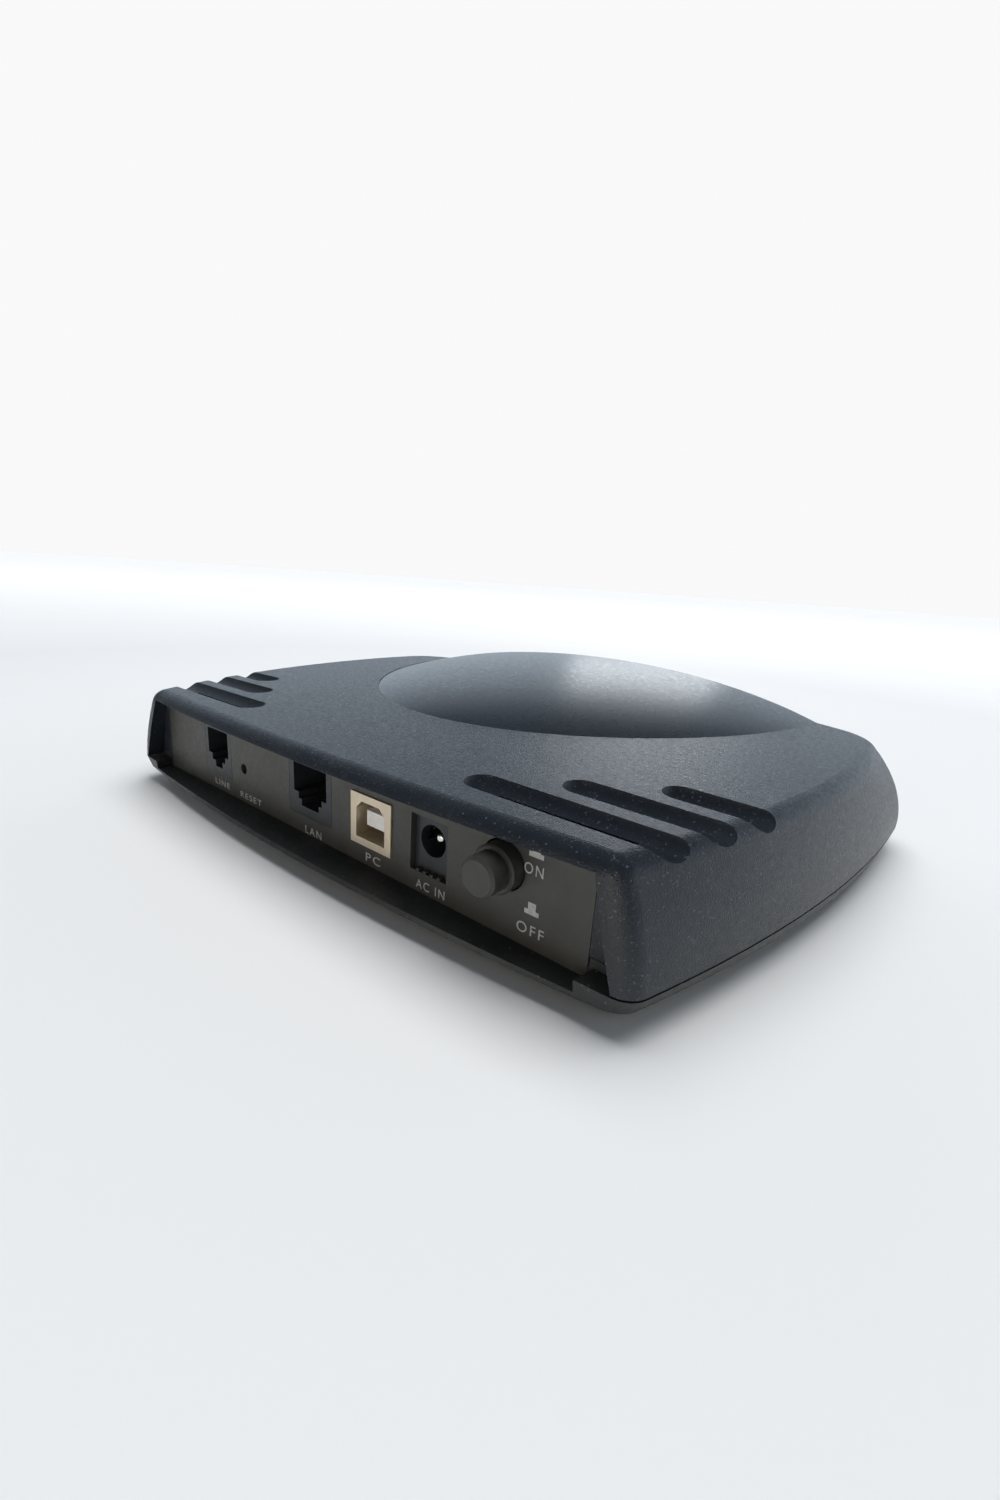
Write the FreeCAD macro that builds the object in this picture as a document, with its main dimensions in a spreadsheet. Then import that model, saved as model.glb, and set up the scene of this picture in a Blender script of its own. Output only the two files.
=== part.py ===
"""Desktop broadband modem: a domed two-part shell, a rear panel of sockets and the circuit board inside.

Millimetres.  +Z is up, +Y is the rear (socket) side, +X is the line-socket side, and the origin is the
middle of the footprint on the table.  Plan depths are measured forward from the rear panel's outer face.
"""
import FreeCAD, Part
import math
import os
import re
from collections import namedtuple

import Sketcher
from FreeCAD import Rotation, Vector

doc = FreeCAD.newDocument("modem")

# Driving dimensions: alias and value.
DIMENSIONS = [
    # shell
    ("rearY", 64.65), ("seamZ", 7.0), ("seamGap", 0.3), ("wall", 2.2), ("lipZ", 24.0), ("floorZ", 1.0),
    ("floorThick", 2.0), ("rearCornerR", 4.5), ("frontCornerR", 20.0), ("topEdgeR", 4.0), ("baseEdgeR", 1.0),
    ("domeHalfX", 85.6), ("domeHalfY", 112.4), ("domeHalfZ", 18.3), ("domeDepth", 130.5), ("domeZ", 18.4),
    ("domeWall", 2.0), ("domeGap", 0.2), ("domeSkirtZ", 24.0),
    # vent grooves in the deck
    ("grooveR", 4.0), ("grooveRise", 1.6), ("grooveFirst", 8.0), ("groovePitch", 10.9), ("grooveInner", 39.5),
    ("grooveStep", 14.4), ("slitWide", 1.6), ("slitShift", 0.5),
    # rear panel and its openings
    ("panelHalf", 68.5), ("panelLow", 4.4), ("shelfZ", 4.8),
    ("panelTop", 24.2), ("panelThick", 2.0), ("fitGap", 0.1),
    ("recessTop", 69.4), ("recessLow", 75.0), ("shelfHalf", 69.6), ("postTop", 8.5),
    # circuit board
    ("boardTop", 9.0), ("boardThick", 1.6), ("boardHalf", 70.0), ("boardRear", 2.5), ("boardFront", 98.0),
    # case screws and board screws
    ("bossR", 3.6), ("caseScrewX", 62.0), ("caseScrewRear", 50.0), ("caseScrewFront", -48.0), ("pilotR", 1.3),
    ("boardScrewX", 61.0), ("boardScrewRear", 20.0), ("boardScrewFront", -24.0), ("postR", 3.0),
    ("headR", 2.8), ("headThick", 1.8),
    # feet
    ("footR", 5.0), ("footThick", 1.8), ("footX", 66.0), ("footRear", 38.0), ("footFront", -38.0),
    # telephone line socket
    ("lineX", 41.85), ("lineWide", 12.7), ("lineTall", 12.4), ("lineDeep", 14.0), ("linePlug", 9.8),
    # reset switch
    ("resetX", 29.6), ("resetZ", 13.6), ("resetHoleR", 1.3), ("plungerR", 1.5),
    # network socket
    ("lanX", 2.3), ("lanWide", 15.3), ("lanTall", 13.2), ("lanDeep", 18.0), ("lanPlug", 11.8),
    # data socket
    ("dataX", -18.3), ("dataWide", 12.0), ("dataTall", 10.9), ("dataDeep", 16.0), ("dataOpening", 8.5),
    ("dataOpeningTall", 7.8), ("dataChamfer", 1.6),
    # power inlet
    ("inletX", -34.15), ("inletWide", 9.0), ("inletTall", 11.0), ("inletDeep", 13.5), ("inletRecess", 1.2),
    ("inletHoleR", 3.15), ("inletHoleZ", 15.5), ("inletPinR", 1.0),
    # power button and its switch
    ("buttonX", -51.2), ("buttonZ", 17.5), ("buttonHoleR", 4.6), ("buttonSkirtR", 4.3), ("buttonCapR", 3.5),
    ("buttonOut", 6.8), ("buttonStep", 2.8), ("shaftSide", 3.0),
    # front window and lamps
    ("windowHalf", 42.0), ("windowLow", 11.0), ("windowTop", 19.0), ("lampPitch", 15.0), ("lampCount", 5.0),
]

sheet = doc.addObject("Spreadsheet::Sheet", "Sizes")
for row, (alias, amount) in enumerate(DIMENSIONS, start=1):
    sheet.set(f"A{row}", alias)
    sheet.set(f"B{row}", str(amount))
    sheet.setAlias(f"B{row}", alias)
doc.recompute()

ALIASES = {alias for alias, _ in DIMENSIONS}
SUBPARTS = []


def bind(text):
    """The expression with each alias read from the sheet."""
    return re.sub(r"[A-Za-z]+", lambda word: "Sizes." + word[0] if word[0] in ALIASES else word[0], str(text))


def number(text):
    """The value of an expression on the sheet."""
    return float(sheet.evalExpression(bind(text)))


def move(thing, corner):
    """Binds an object's place to three expressions."""
    for axis, text in zip("xyz", corner):
        thing.setExpression(f".Placement.Base.{axis}", bind(text))
    return thing


def box(name, size, corner):
    """A block: three sizes and its lowest corner, all expressions."""
    block = doc.addObject("Part::Box", name)
    for side, text in zip(("Length", "Width", "Height"), size):
        block.setExpression(side, bind(text))
    return move(block, corner)


TURNS = {
    "up": Rotation(),
    "front": Rotation(Vector(1, 0, 0), 90),
    "rear": Rotation(Vector(1, 0, 0), -90),
    "right": Rotation(Vector(0, 1, 0), 90),
}


def rod(name, radius, length, start, towards="up"):
    """A cylinder from its start point along one of the named directions."""
    cylinder = doc.addObject("Part::Cylinder", name)
    cylinder.Placement = FreeCAD.Placement(Vector(), TURNS[towards])
    cylinder.setExpression("Radius", bind(radius))
    cylinder.setExpression("Height", bind(length))
    return move(cylinder, start)


def ball(name, radius, centre):
    """A sphere about its centre."""
    sphere = doc.addObject("Part::Sphere", name)
    sphere.setExpression("Radius", bind(radius))
    return move(sphere, centre)


def ring(name, radius, wire, centre, towards="up"):
    """A torus about its centre."""
    torus = doc.addObject("Part::Torus", name)
    torus.Placement = FreeCAD.Placement(Vector(), TURNS[towards])
    torus.setExpression("Radius1", bind(radius))
    torus.setExpression("Radius2", bind(wire))
    return move(torus, centre)


def cut(name, base, *tools):
    """The base with every tool taken away."""
    tool = tools[0] if len(tools) == 1 else fuse(name + "_tool", *tools)
    result = doc.addObject("Part::Cut", name)
    result.Base = base
    result.Tool = tool
    return result


def fuse(name, *pieces):
    """The union of the pieces."""
    result = doc.addObject("Part::MultiFuse", name)
    result.Shapes = list(pieces)
    return result


def common(name, first, second):
    """The space that two objects share."""
    result = doc.addObject("Part::MultiCommon", name)
    result.Shapes = [first, second]
    return result


def group(name, pieces):
    """Separate solids kept as one node."""
    result = doc.addObject("Part::Compound", name)
    result.Links = list(pieces)
    return result


def rounded(name, base, radius, keep):
    """Fillets the edges of a base that a test picks out."""
    doc.recompute()
    result = doc.addObject("Part::Fillet", name)
    result.Base = base
    picked = [place for place, edge in enumerate(base.Shape.Edges, start=1) if keep(edge)]
    result.Edges = [(place, number(radius), number(radius)) for place in picked]
    return result


def fixed(name, shape):
    """A free-form shape as a document object."""
    feature = doc.addObject("Part::Feature", name)
    feature.Shape = shape
    return feature


def subpart(thing, label):
    """Marks an object as a node of the model."""
    thing.Label = label
    SUBPARTS.append(thing)
    return thing


# ---- PartDesign helpers ------------------------------------------------------------------------------


def new_body(name):
    """An empty PartDesign body."""
    return doc.addObject("PartDesign::Body", name)


def sketch_on(body, name, plane, place):
    """A sketch on one of the body's origin planes, offset by three expressions in the sketch's own axes."""
    sketch = body.newObject("Sketcher::SketchObject", name)
    support = [item for item in body.Origin.OriginFeatures if item.Role == plane][0]
    sketch.AttachmentSupport = [(support, "")]
    sketch.MapMode = "FlatFace"
    for axis, text in zip("xyz", place):
        sketch.setExpression(f".AttachmentOffset.Base.{axis}", bind(text))
    return sketch


def rectangle(body, name, plane, place, wide, tall):
    """A rectangle sketch whose lower left corner is at its place."""
    sketch = sketch_on(body, name, plane, place)
    width, height = number(wide), number(tall)
    corners = [Vector(0, 0), Vector(width, 0), Vector(width, height), Vector(0, height)]
    for here, there in zip(corners, corners[1:] + corners[:1]):
        sketch.addGeometry(Part.LineSegment(here, there))
    for side in range(4):
        sketch.addConstraint(Sketcher.Constraint("Coincident", side, 2, (side + 1) % 4, 1))
    sketch.addConstraint(Sketcher.Constraint("Coincident", 0, 1, -1, 1))
    for side, kind in enumerate(("Horizontal", "Vertical", "Horizontal", "Vertical")):
        sketch.addConstraint(Sketcher.Constraint(kind, side))
    wide_at = sketch.addConstraint(Sketcher.Constraint("DistanceX", 0, 1, 0, 2, width))
    tall_at = sketch.addConstraint(Sketcher.Constraint("DistanceY", 1, 1, 1, 2, height))
    sketch.setExpression(f"Constraints[{wide_at}]", bind(wide))
    sketch.setExpression(f"Constraints[{tall_at}]", bind(tall))
    return sketch


def circle(body, name, plane, place, radius):
    """A circle sketch centred on its place."""
    sketch = sketch_on(body, name, plane, place)
    sketch.addGeometry(Part.Circle(Vector(), Vector(0, 0, 1), number(radius)))
    sketch.addConstraint(Sketcher.Constraint("Coincident", 0, 3, -1, 1))
    radius_at = sketch.addConstraint(Sketcher.Constraint("Radius", 0, number(radius)))
    sketch.setExpression(f"Constraints[{radius_at}]", bind(radius))
    return sketch


def pad(body, sketch, length, flip=False):
    """Adds material from a sketch."""
    feature = body.newObject("PartDesign::Pad", sketch.Name + "_pad")
    feature.Profile = sketch
    feature.setExpression("Length", bind(length))
    feature.Reversed = flip
    return feature


def pocket(body, sketch, length, flip=False):
    """Takes material away from a sketch, and makes sure that it did."""
    doc.recompute()
    before = body.Shape.Volume
    feature = body.newObject("PartDesign::Pocket", sketch.Name + "_pocket")
    feature.Profile = sketch
    feature.setExpression("Length", bind(length))
    feature.Reversed = flip
    doc.recompute()
    if body.Shape.Volume > before - 1e-6:
        raise ValueError(f"{feature.Name} cuts nothing")
    return feature


def turned(body, name, plane, place, profile):
    """A solid of revolution about the sketch's upright axis, from (radius, height) corners."""
    sketch = sketch_on(body, name, plane, place)
    corners = [Vector(number(radius), number(height)) for radius, height in profile]
    for here, there in zip(corners, corners[1:] + corners[:1]):
        sketch.addGeometry(Part.LineSegment(here, there))
    count = len(corners)
    for side in range(count):
        sketch.addConstraint(Sketcher.Constraint("Coincident", side, 2, (side + 1) % count, 1))
    for side, (radius, height) in enumerate(profile):
        for kind, text in (("DistanceX", radius), ("DistanceY", height)):
            if number(text) == 0:
                axis = -2 if kind == "DistanceX" else -1
                sketch.addConstraint(Sketcher.Constraint("PointOnObject", side, 1, axis))
                continue
            at = sketch.addConstraint(Sketcher.Constraint(kind, -1, 1, side, 1, number(text)))
            sketch.setExpression(f"Constraints[{at}]", bind(text))
    feature = body.newObject("PartDesign::Revolution", name + "_turned")
    feature.Profile = sketch
    feature.ReferenceAxis = (sketch, ["V_Axis"])
    feature.Angle = 360
    return feature


# ---- outer form --------------------------------------------------------------------------------------

# One horizontal outline of the shell: how far forward of the panel its rear and front middles are, and
# (half width, depth) of its rear corner, of a point on its side and of its front corner.
Level = namedtuple("Level", "z rear rear_corner side front_corner front")

COVER_LEVELS = [
    Level(7, -5.5, (77.8, -4.1), (92.6, 54.65), (97.9, 122), 139),
    Level(16, -5.5, (76.1, -3.6), (91.5, 54.65), (95.9, 121), 138.4),
    Level(27, -5.5, (72, -2.4), (88, 54.65), (87.5, 116), 135.5),
    Level(44, -5.5, (62.5, -2.4), (75.5, 54.65), (73, 106), 126),
]
BASE_LEVELS = [
    Level(7, -6, (77.8, -4.1), (92.6, 54.65), (97.9, 122), 139),
    Level(4, -8, (76.4, -3.2), (91.8, 54.65), (96.6, 122), 138.6),
    Level(1, -4.6, (74.4, 0), (89.3, 54.65), (93.5, 120.5), 136.5),
]


def shrink(level, inset):
    """The outline of a level moved inward all round."""
    def inner(point):
        return point[0] - inset, point[1]

    return Level(level.z, level.rear + inset, inner(level.rear_corner), inner(level.side),
                 (level.front_corner[0] - inset, level.front_corner[1] - inset), level.front - inset)


def outline(level):
    """Four bowed sides in one horizontal wire, square at the corners."""
    rear_y = number("rearY")

    def at(x, depth):
        return Vector(x, rear_y - depth, level.z)

    (rear_x, rear_d), (side_x, side_d), (front_x, front_d) = level.rear_corner, level.side, level.front_corner
    sides = [
        (at(rear_x, rear_d), at(0, level.rear), at(-rear_x, rear_d)),
        (at(-rear_x, rear_d), at(-side_x, side_d), at(-front_x, front_d)),
        (at(-front_x, front_d), at(0, level.front), at(front_x, front_d)),
        (at(front_x, front_d), at(side_x, side_d), at(rear_x, rear_d)),
    ]
    return Part.Wire([Part.Arc(*points).toShape() for points in sides])


def is_post(edge, tall):
    """Whether an edge stands at least that tall."""
    return edge.BoundBox.ZLength > tall


def round_posts(shape, tall, inset=0.0):
    """Rounds the four standing edges, small at the rear and large at the front."""
    for radius, rear in ((number("rearCornerR"), True), (number("frontCornerR"), False)):
        radius = max(radius - inset, 0.8)
        posts = [edge for edge in shape.Edges if is_post(edge, tall) and (edge.CenterOfMass.y > 0) == rear]
        posts = [edge for edge in posts if abs(edge.CenterOfMass.y) > 30]
        shape = shape.makeFillet(radius, posts)
    return shape


def rounded_outline(level, inset):
    """The outline with its four corners rounded."""
    slab = round_posts(Part.Face(outline(level)).extrude(Vector(0, 0, 1)), 0.9, inset)
    flat = [face for face in slab.Faces if face.BoundBox.ZLength < 0.01]
    return min(flat, key=lambda face: face.BoundBox.ZMin).OuterWire


def cover_form(inset=0.0):
    """The whole outer form above the seam, before its top is shaped."""
    levels = [shrink(level, inset) for level in COVER_LEVELS]
    return round_posts(Part.makeLoft([outline(level) for level in levels], True, False), 20, inset)


def base_form(inset=0.0):
    """The outer form below the seam."""
    levels = [shrink(level, inset) for level in BASE_LEVELS]
    return Part.makeLoft([rounded_outline(level, inset) for level in levels], True, True)


def crown(drop=0.0, low=-5.0):
    """Everything under the crowned deck: flatter along the middle and rising towards the front at the sides."""
    middle = ((-14, 26.0), (40, 28.2), (142, 29.0))
    edge = ((-14, 26.15), (60, 27.2), (142, 27.4))
    rear_y = number("rearY")
    sections = []
    for x, profile in ((-100, edge), (0, middle), (100, edge)):
        rear, mid, front = [Vector(x, rear_y - depth, z - drop) for depth, z in profile]
        rear_foot = Vector(x, rear.y, low)
        front_foot = Vector(x, front.y, low)
        sections.append(Part.Wire([
            Part.Arc(rear, mid, front).toShape(),
            Part.makeLine(front, front_foot),
            Part.makeLine(front_foot, rear_foot),
            Part.makeLine(rear_foot, rear),
        ]))
    return Part.makeLoft(sections, True, False)


def dome_form(inset=0.0):
    """The ellipsoid of the raised lid, centred below the deck."""
    scale = FreeCAD.Matrix()
    scale.scale(number("domeHalfX") - inset, number("domeHalfY") - inset, number("domeHalfZ") - inset)
    form = Part.makeSphere(1.0).transformGeometry(scale)
    form.translate(Vector(0, number("rearY - domeDepth"), number("domeZ")))
    return form


def groove_tool(name, radius, number_out, side):
    """A round-ended trough tool lying along X, one of three on each side."""
    inner = f"grooveInner + {number_out} * grooveStep"
    depth = f"rearY - grooveFirst - {number_out} * groovePitch"
    height = f"{deck_height(number_out):.3f} + grooveRise"
    start = f"{inner}" if side > 0 else "-110"
    bar = rod(name + "_bar", radius, f"110 - ({inner})", (start, depth, height), "right")
    tip = ball(name + "_tip", radius, (f"{side} * ({inner})", depth, height))
    return fuse(name, bar, tip)


def deck_height(number_out):
    """Height of the crowned deck at a groove, where it runs out at the side."""
    probe_x = number(f"grooveInner + {number_out} * grooveStep") + 12
    probe_y = number(f"rearY - grooveFirst - {number_out} * groovePitch")
    line = Part.makeLine(Vector(probe_x, probe_y, 20), Vector(probe_x, probe_y, 40))
    return DECK.common(line).BoundBox.ZMax


DECK = crown()
GROOVES = [(side, place) for side in (1, -1) for place in range(3)]


def grooves(name, radius):
    """The six trough tools."""
    return fuse(name, *[groove_tool(f"{name}_{place}_{'left' if side > 0 else 'right'}", radius, place, side)
                        for side, place in GROOVES])


def vent_slits():
    """Slots through the floor of each groove."""
    slits = []
    for side, place in GROOVES:
        inner = f"(grooveInner + {place} * grooveStep + 3)"
        length = f"({70 + 4.5 * place} - {inner})"
        start = inner if side > 0 else f"-{inner} - {length}"
        depth = f"rearY - grooveFirst - {place} * groovePitch - slitShift - slitWide / 2"
        slits.append(box(f"slit_{place}_{'left' if side > 0 else 'right'}", (length, "slitWide", 12),
                         (start, depth, 18)))
    return fuse("vent_slits", *slits)


def case_screw_places():
    """The four case screws."""
    return [(f"{side} * caseScrewX", y) for side in (1, -1) for y in ("caseScrewRear", "caseScrewFront")]


def board_screw_places():
    """The four screws that hold the board."""
    return [(f"{side} * boardScrewX", y) for side in (1, -1) for y in ("boardScrewRear", "boardScrewFront")]


def rods_at(name, places, radius, length, z):
    """Equal upright cylinders."""
    return [rod(f"{name}_{count}", radius, length, (x, y, z)) for count, (x, y) in enumerate(places)]


# ---- shell -------------------------------------------------------------------------------------------


def rear_recess():
    """The space behind the lip: wider at the bottom, flush with the panel."""
    top, bottom = number("recessTop"), number("recessLow")
    rear_y, lip = number("rearY"), number("lipZ")
    corners = [Vector(-bottom, rear_y, 6), Vector(-top, rear_y, lip), Vector(top, rear_y, lip),
               Vector(bottom, rear_y, 6), Vector(bottom + 0.3, rear_y, 5), Vector(-bottom - 0.3, rear_y, 5)]
    return fixed("rear_recess", Part.Face(Part.makePolygon(corners + corners[:1])).extrude(Vector(0, 15, 0)))


def top_edge(edge):
    """Whether an edge runs round the top of the cover."""
    return edge.BoundBox.ZMin > 24.5


def top_cover():
    """Upper half of the shell: crowned deck with vent grooves, lip over the sockets and a hole for the dome."""
    solid = cover_form().common(DECK)
    solid = solid.makeFillet(number("topEdgeR"), [edge for edge in solid.Edges if top_edge(edge)])
    outer = fixed("cover_outer", solid)
    inside = cover_form(number("wall")).common(crown(number("wall")))
    room = box("cover_room", (220, "200 + rearY - wall", 60), (-110, -200, 0))
    cavity = cut("cover_cavity", common("cover_hollow", fixed("cover_inner", inside), room),
                 grooves("trough", "grooveR + 1.8"))
    bosses = rods_at("cover_boss", case_screw_places(), "bossR", "16", "boardTop + 1.2")
    bosses = common("cover_bosses", fuse("cover_boss_set", *bosses), fixed("deck_limit", crown(0.5)))
    shell = fuse("cover_shell", cut("cover_hollowed", outer, cavity), bosses)
    tools = [
        rear_recess(),
        common("dome_hole", fixed("dome_swell", dome_form(-number("domeGap"))),
               box("dome_hole_band", (240, 300, 60), (-120, -200, "domeSkirtZ - domeGap"))),
        grooves("groove", "grooveR"),
        vent_slits(),
        box("cover_panel_slot",
            ("2 * panelHalf + 2 * fitGap", "panelThick + 2", "panelTop - panelLow + fitGap"),
            ("-panelHalf - fitGap", "rearY - panelThick - 1", "panelLow")),
        box("cover_window", ("2 * windowHalf + 2 * fitGap", 60, "windowTop - windowLow + 2 * fitGap"),
            ("-windowHalf - fitGap", -110, "windowLow - fitGap")),
        box("cover_foot_gap", (220, 220, "seamGap"), (-110, -110, "seamZ")),
    ]
    tools += rods_at("cover_pilot", case_screw_places(), "pilotR", 10, "boardTop + 1")
    tools += corner_posts("cover_post_gap", 0.15)
    return subpart(cut("top_cover_solid", shell, *tools), "top_cover")


def dome_cover():
    """The smooth raised lid: an ellipsoid shell that ends in the sloping nose at the front."""
    whole = dome_form().common(cover_form())
    nose = [edge for edge in whole.Edges if edge.BoundBox.ZMin > number("seamZ") + 1
            and edge.CenterOfMass.y < -60]
    rounded_whole = whole.makeFillet(2.5, nose)
    hollow = dome_form(number("domeWall")).common(cover_form(number("domeWall")))
    shell = cut("dome_shell", fixed("dome_outer", rounded_whole), fixed("dome_inner", hollow))
    above = box("dome_above", (220, 260, 40), (-110, -130, "domeSkirtZ"))
    return subpart(common("dome_cover_solid", shell, above), "dome_cover")


def base_cover():
    """Tray with posts for the board, bosses for the case screws and hollows for the feet."""
    solid = base_form()
    under = [edge for edge in solid.Edges if edge.BoundBox.ZMax < number("floorZ") + 0.01]
    outer = fixed("base_outer", solid.makeFillet(number("baseEdgeR"), under))
    inner = fixed("base_inner", base_form(number("wall")))
    room = box("base_room", (220, "200 + rearY - wall - 0.2", 60), (-110, -200, "floorZ + floorThick"))
    tray = cut("base_tray", outer, common("base_cavity", inner, room))
    tongue_outer = cover_form(number("wall") + 0.15)
    tongue_inner = cover_form(number("wall") + 1.4)
    tongue = cut("tongue_ring", fixed("tongue_outer", tongue_outer), fixed("tongue_inner", tongue_inner))
    band = box("tongue_band", (220, "200 + rearY - wall - 3", 2.2), (-110, -200, "seamZ"))
    tongue = common("base_tongue", tongue, band)
    bosses = rods_at("base_boss", case_screw_places(), "bossR", "boardTop + 1 - floorZ - 1", "floorZ + 1")
    posts = rods_at("base_post", board_screw_places(), "postR",
                    "boardTop - boardThick - floorZ - 1", "floorZ + 1")
    shell = fuse("base_shell", tray, tongue, *bosses, *posts, *corner_posts("corner_post", 0))
    tools = [
        box("base_panel_slot", ("2 * panelHalf + 2 * fitGap", "panelThick + 1 + fitGap", 5),
            ("-panelHalf - fitGap", "rearY - panelThick - 1", "panelLow")),
        base_shelf(),
        box("label_hollow", (84, 44, 0.4), (-42, -22, "floorZ - 0.1")),
    ]
    tools += rods_at("base_screw_hole", case_screw_places(), "pilotR + 0.3", 12, 0)
    tools += rods_at("base_head_hole", case_screw_places(), "headR + 0.4", "floorZ + 3", 0)
    tools += rods_at("base_post_hole", board_screw_places(), "pilotR", 6, "boardTop - boardThick - 4.5")
    tools += rods_at("foot_hollow", foot_places(), "footR + 0.2", "footThick", 0)
    tools += base_vents()
    return subpart(cut("base_cover_solid", shell, *tools), "base_cover")


def base_shelf():
    """The low shelf of the base under the panel; its ends run back at a slant."""
    rear_y, half, out = number("rearY"), number("shelfHalf"), 10
    corners = [Vector(-half, rear_y, 0), Vector(half, rear_y, 0), Vector(half - 0.2 * out, rear_y + out, 0),
               Vector(-half + 0.2 * out, rear_y + out, 0)]
    prism = Part.Face(Part.makePolygon(corners + corners[:1])).extrude(Vector(0, 0, 5))
    return fixed("base_shelf", prism.translated(Vector(0, 0, number("shelfZ"))))


def corner_posts(name, gap):
    """The two small blocks of the base that close the corners below the cover's rim."""
    size = (5.2 + 2 * gap, 2 + 2 * gap, f"postTop - seamZ + 0.3 + {gap}")
    return [box(f"{name}_{side}", size, (f"{x} - {gap}", f"rearY - 2 - {gap}", "seamZ - 0.3"))
            for side, x in (("left", "panelHalf + 0.3"), ("right", "-panelHalf - 5.5"))]


def base_vents():
    """Two rows of air slots through the floor."""
    return [box(f"base_vent_{row}_{place}", (2.2, 26, 6), (f"{side} * 56 + {place - 2} * 6 - 1.1", -13, 0))
            for row, side in enumerate((1, -1)) for place in range(5)]


def foot_places():
    """The four feet."""
    return [(f"{side} * footX", y) for side in (1, -1) for y in ("footRear", "footFront")]


def rubber_feet():
    """Four round pads let into the base."""
    feet = []
    for count, (x, y) in enumerate(foot_places()):
        pad_solid = rod(f"foot_disc_{count}", "footR", "footThick", (x, y, 0))
        feet.append(rounded(f"foot_{count}", pad_solid, 0.5,
                            lambda edge: edge.BoundBox.ZMax < 0.01 and edge.BoundBox.XLength > 1))
    return subpart(group("foot_set", feet), "rubber_feet")


def rating_label():
    """Blank foil plate stuck in a shallow hollow under the base."""
    body = new_body("label_body")
    pad(body, rectangle(body, "label_outline", "XY_Plane", (-41.8, -21.8, "floorZ + 0.1"), 83.6, 43.6), 0.2)
    return subpart(body, "rating_label")


def rear_panel():
    """Flat insert that frames the sockets."""
    body = new_body("panel_body")
    face = rectangle(body, "panel_face", "XZ_Plane", ("-panelHalf", "panelLow", "-rearY"), "2 * panelHalf",
                     "panelTop - panelLow")
    pad(body, face, "panelThick")
    sockets = [
        ("line", "lineX", "lineWide + 0.2", "lineTall + 0.1"),
        ("lan", "lanX", "lanWide + 0.2", "lanTall + 0.1"),
        ("data", "dataX", "dataWide + 0.2", "dataTall + 0.1"),
        ("inlet", "inletX", "inletWide + 0.3", "inletTall + 0.3"),
    ]
    for name, x, wide, tall in sockets:
        sketch = rectangle(body, f"panel_{name}", "XZ_Plane", (f"{x} - ({wide}) / 2", "boardTop - 0.05", "-rearY - 1"),
                           wide, tall)
        pocket(body, sketch, "panelThick + 2", True)
    for name, x, z, radius in (("button", "buttonX", "buttonZ", "buttonHoleR"),
                               ("reset", "resetX", "resetZ", "resetHoleR")):
        sketch = circle(body, f"panel_{name}", "XZ_Plane", (x, z, "-rearY - 1"), radius)
        pocket(body, sketch, "panelThick + 2", True)
    return subpart(body, "rear_panel")


def front_lens():
    """Smoked window across the nose, curved as the shell is."""
    skin = cover_form().cut(cover_form(1.6))
    band = box("lens_band", ("2 * windowHalf", 60, "windowTop - windowLow"), ("-windowHalf", -110, "windowLow"))
    return subpart(common("front_lens_solid", fixed("lens_skin", skin), band), "front_lens")


def screws(label, places, shank, head_z, thread, up):
    """Identical pan-head screws; up tells whether the shank points up from the head."""
    pieces = []
    for count, (x, y) in enumerate(places):
        start = head_z if up else f"{head_z} - ({shank})"
        head = rod(f"{label}_head_{count}", "headR", "headThick",
                   (x, y, f"{head_z} - headThick" if up else head_z))
        thread_rod = rod(f"{label}_shank_{count}", thread, shank, (x, y, start))
        slot_z = f"{head_z} - headThick" if up else f"{head_z} + headThick - 0.7"
        cross = [box(f"{label}_slot_{count}_{turn}", (wide, deep, 0.7),
                     (f"{x} - {wide / 2}", f"{y} - {deep / 2}", slot_z))
                 for turn, (wide, deep) in enumerate(((3.4, 0.7), (0.7, 3.4)))]
        pieces.append(cut(f"{label}_{count}", fuse(f"{label}_blank_{count}", head, thread_rod), *cross))
    return subpart(group(label + "_set", pieces), label)


# ---- circuit board and its parts ---------------------------------------------------------------------


def circuit_board():
    """The board, with clearance round the case screw bosses and holes for its own screws."""
    body = new_body("board_body")
    size = ("2 * boardHalf", "boardFront - boardRear")
    pad(body, rectangle(body, "board_outline", "XY_Plane",
                        ("-boardHalf", "rearY - boardFront", "boardTop - boardThick"), *size), "boardThick")
    holes = [(place, "bossR + 1") for place in case_screw_places() if place[1] == "caseScrewRear"]
    holes += [(place, "pilotR + 0.3") for place in board_screw_places()]
    holes += [(place, 0.5) for place in switch_pin_places()]
    for count, ((x, y), radius) in enumerate(holes):
        sketch = circle(body, f"board_hole_{count}", "XY_Plane", (x, y, "boardTop - 4"), radius)
        pocket(body, sketch, 8, True)
    return subpart(body, "circuit_board")


def modular_jack(label, centre, wide, tall, deep, plug, steps):
    """A socket block with a stepped mouth: each step is (width, low, high) above the board."""
    block = box(label + "_block", (wide, deep, tall), (f"{centre} - {wide} / 2", f"rearY - {deep}", "boardTop"))
    mouth = [box(f"{label}_step_{count}", (width, f"{deep} - 2", f"{high} - {low}"),
                 (f"{centre} - ({width}) / 2", f"rearY - {deep} + 2", f"boardTop + {low}"))
             for count, (width, low, high) in enumerate([(plug, 5.2, 11.9)] + steps)]
    return subpart(cut(label + "_cut", block, *mouth), label)


def line_jack():
    """Six-place telephone socket and its four spring wires."""
    modular_jack("line_jack_housing", "lineX", "lineWide", "lineTall", "lineDeep", "linePlug",
                 [("6.4", 3.6, 5.3), ("3.4", 2.0, 3.7)])
    jack_contacts("line_jack_contacts", "lineX", "lineDeep", 4)


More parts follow.
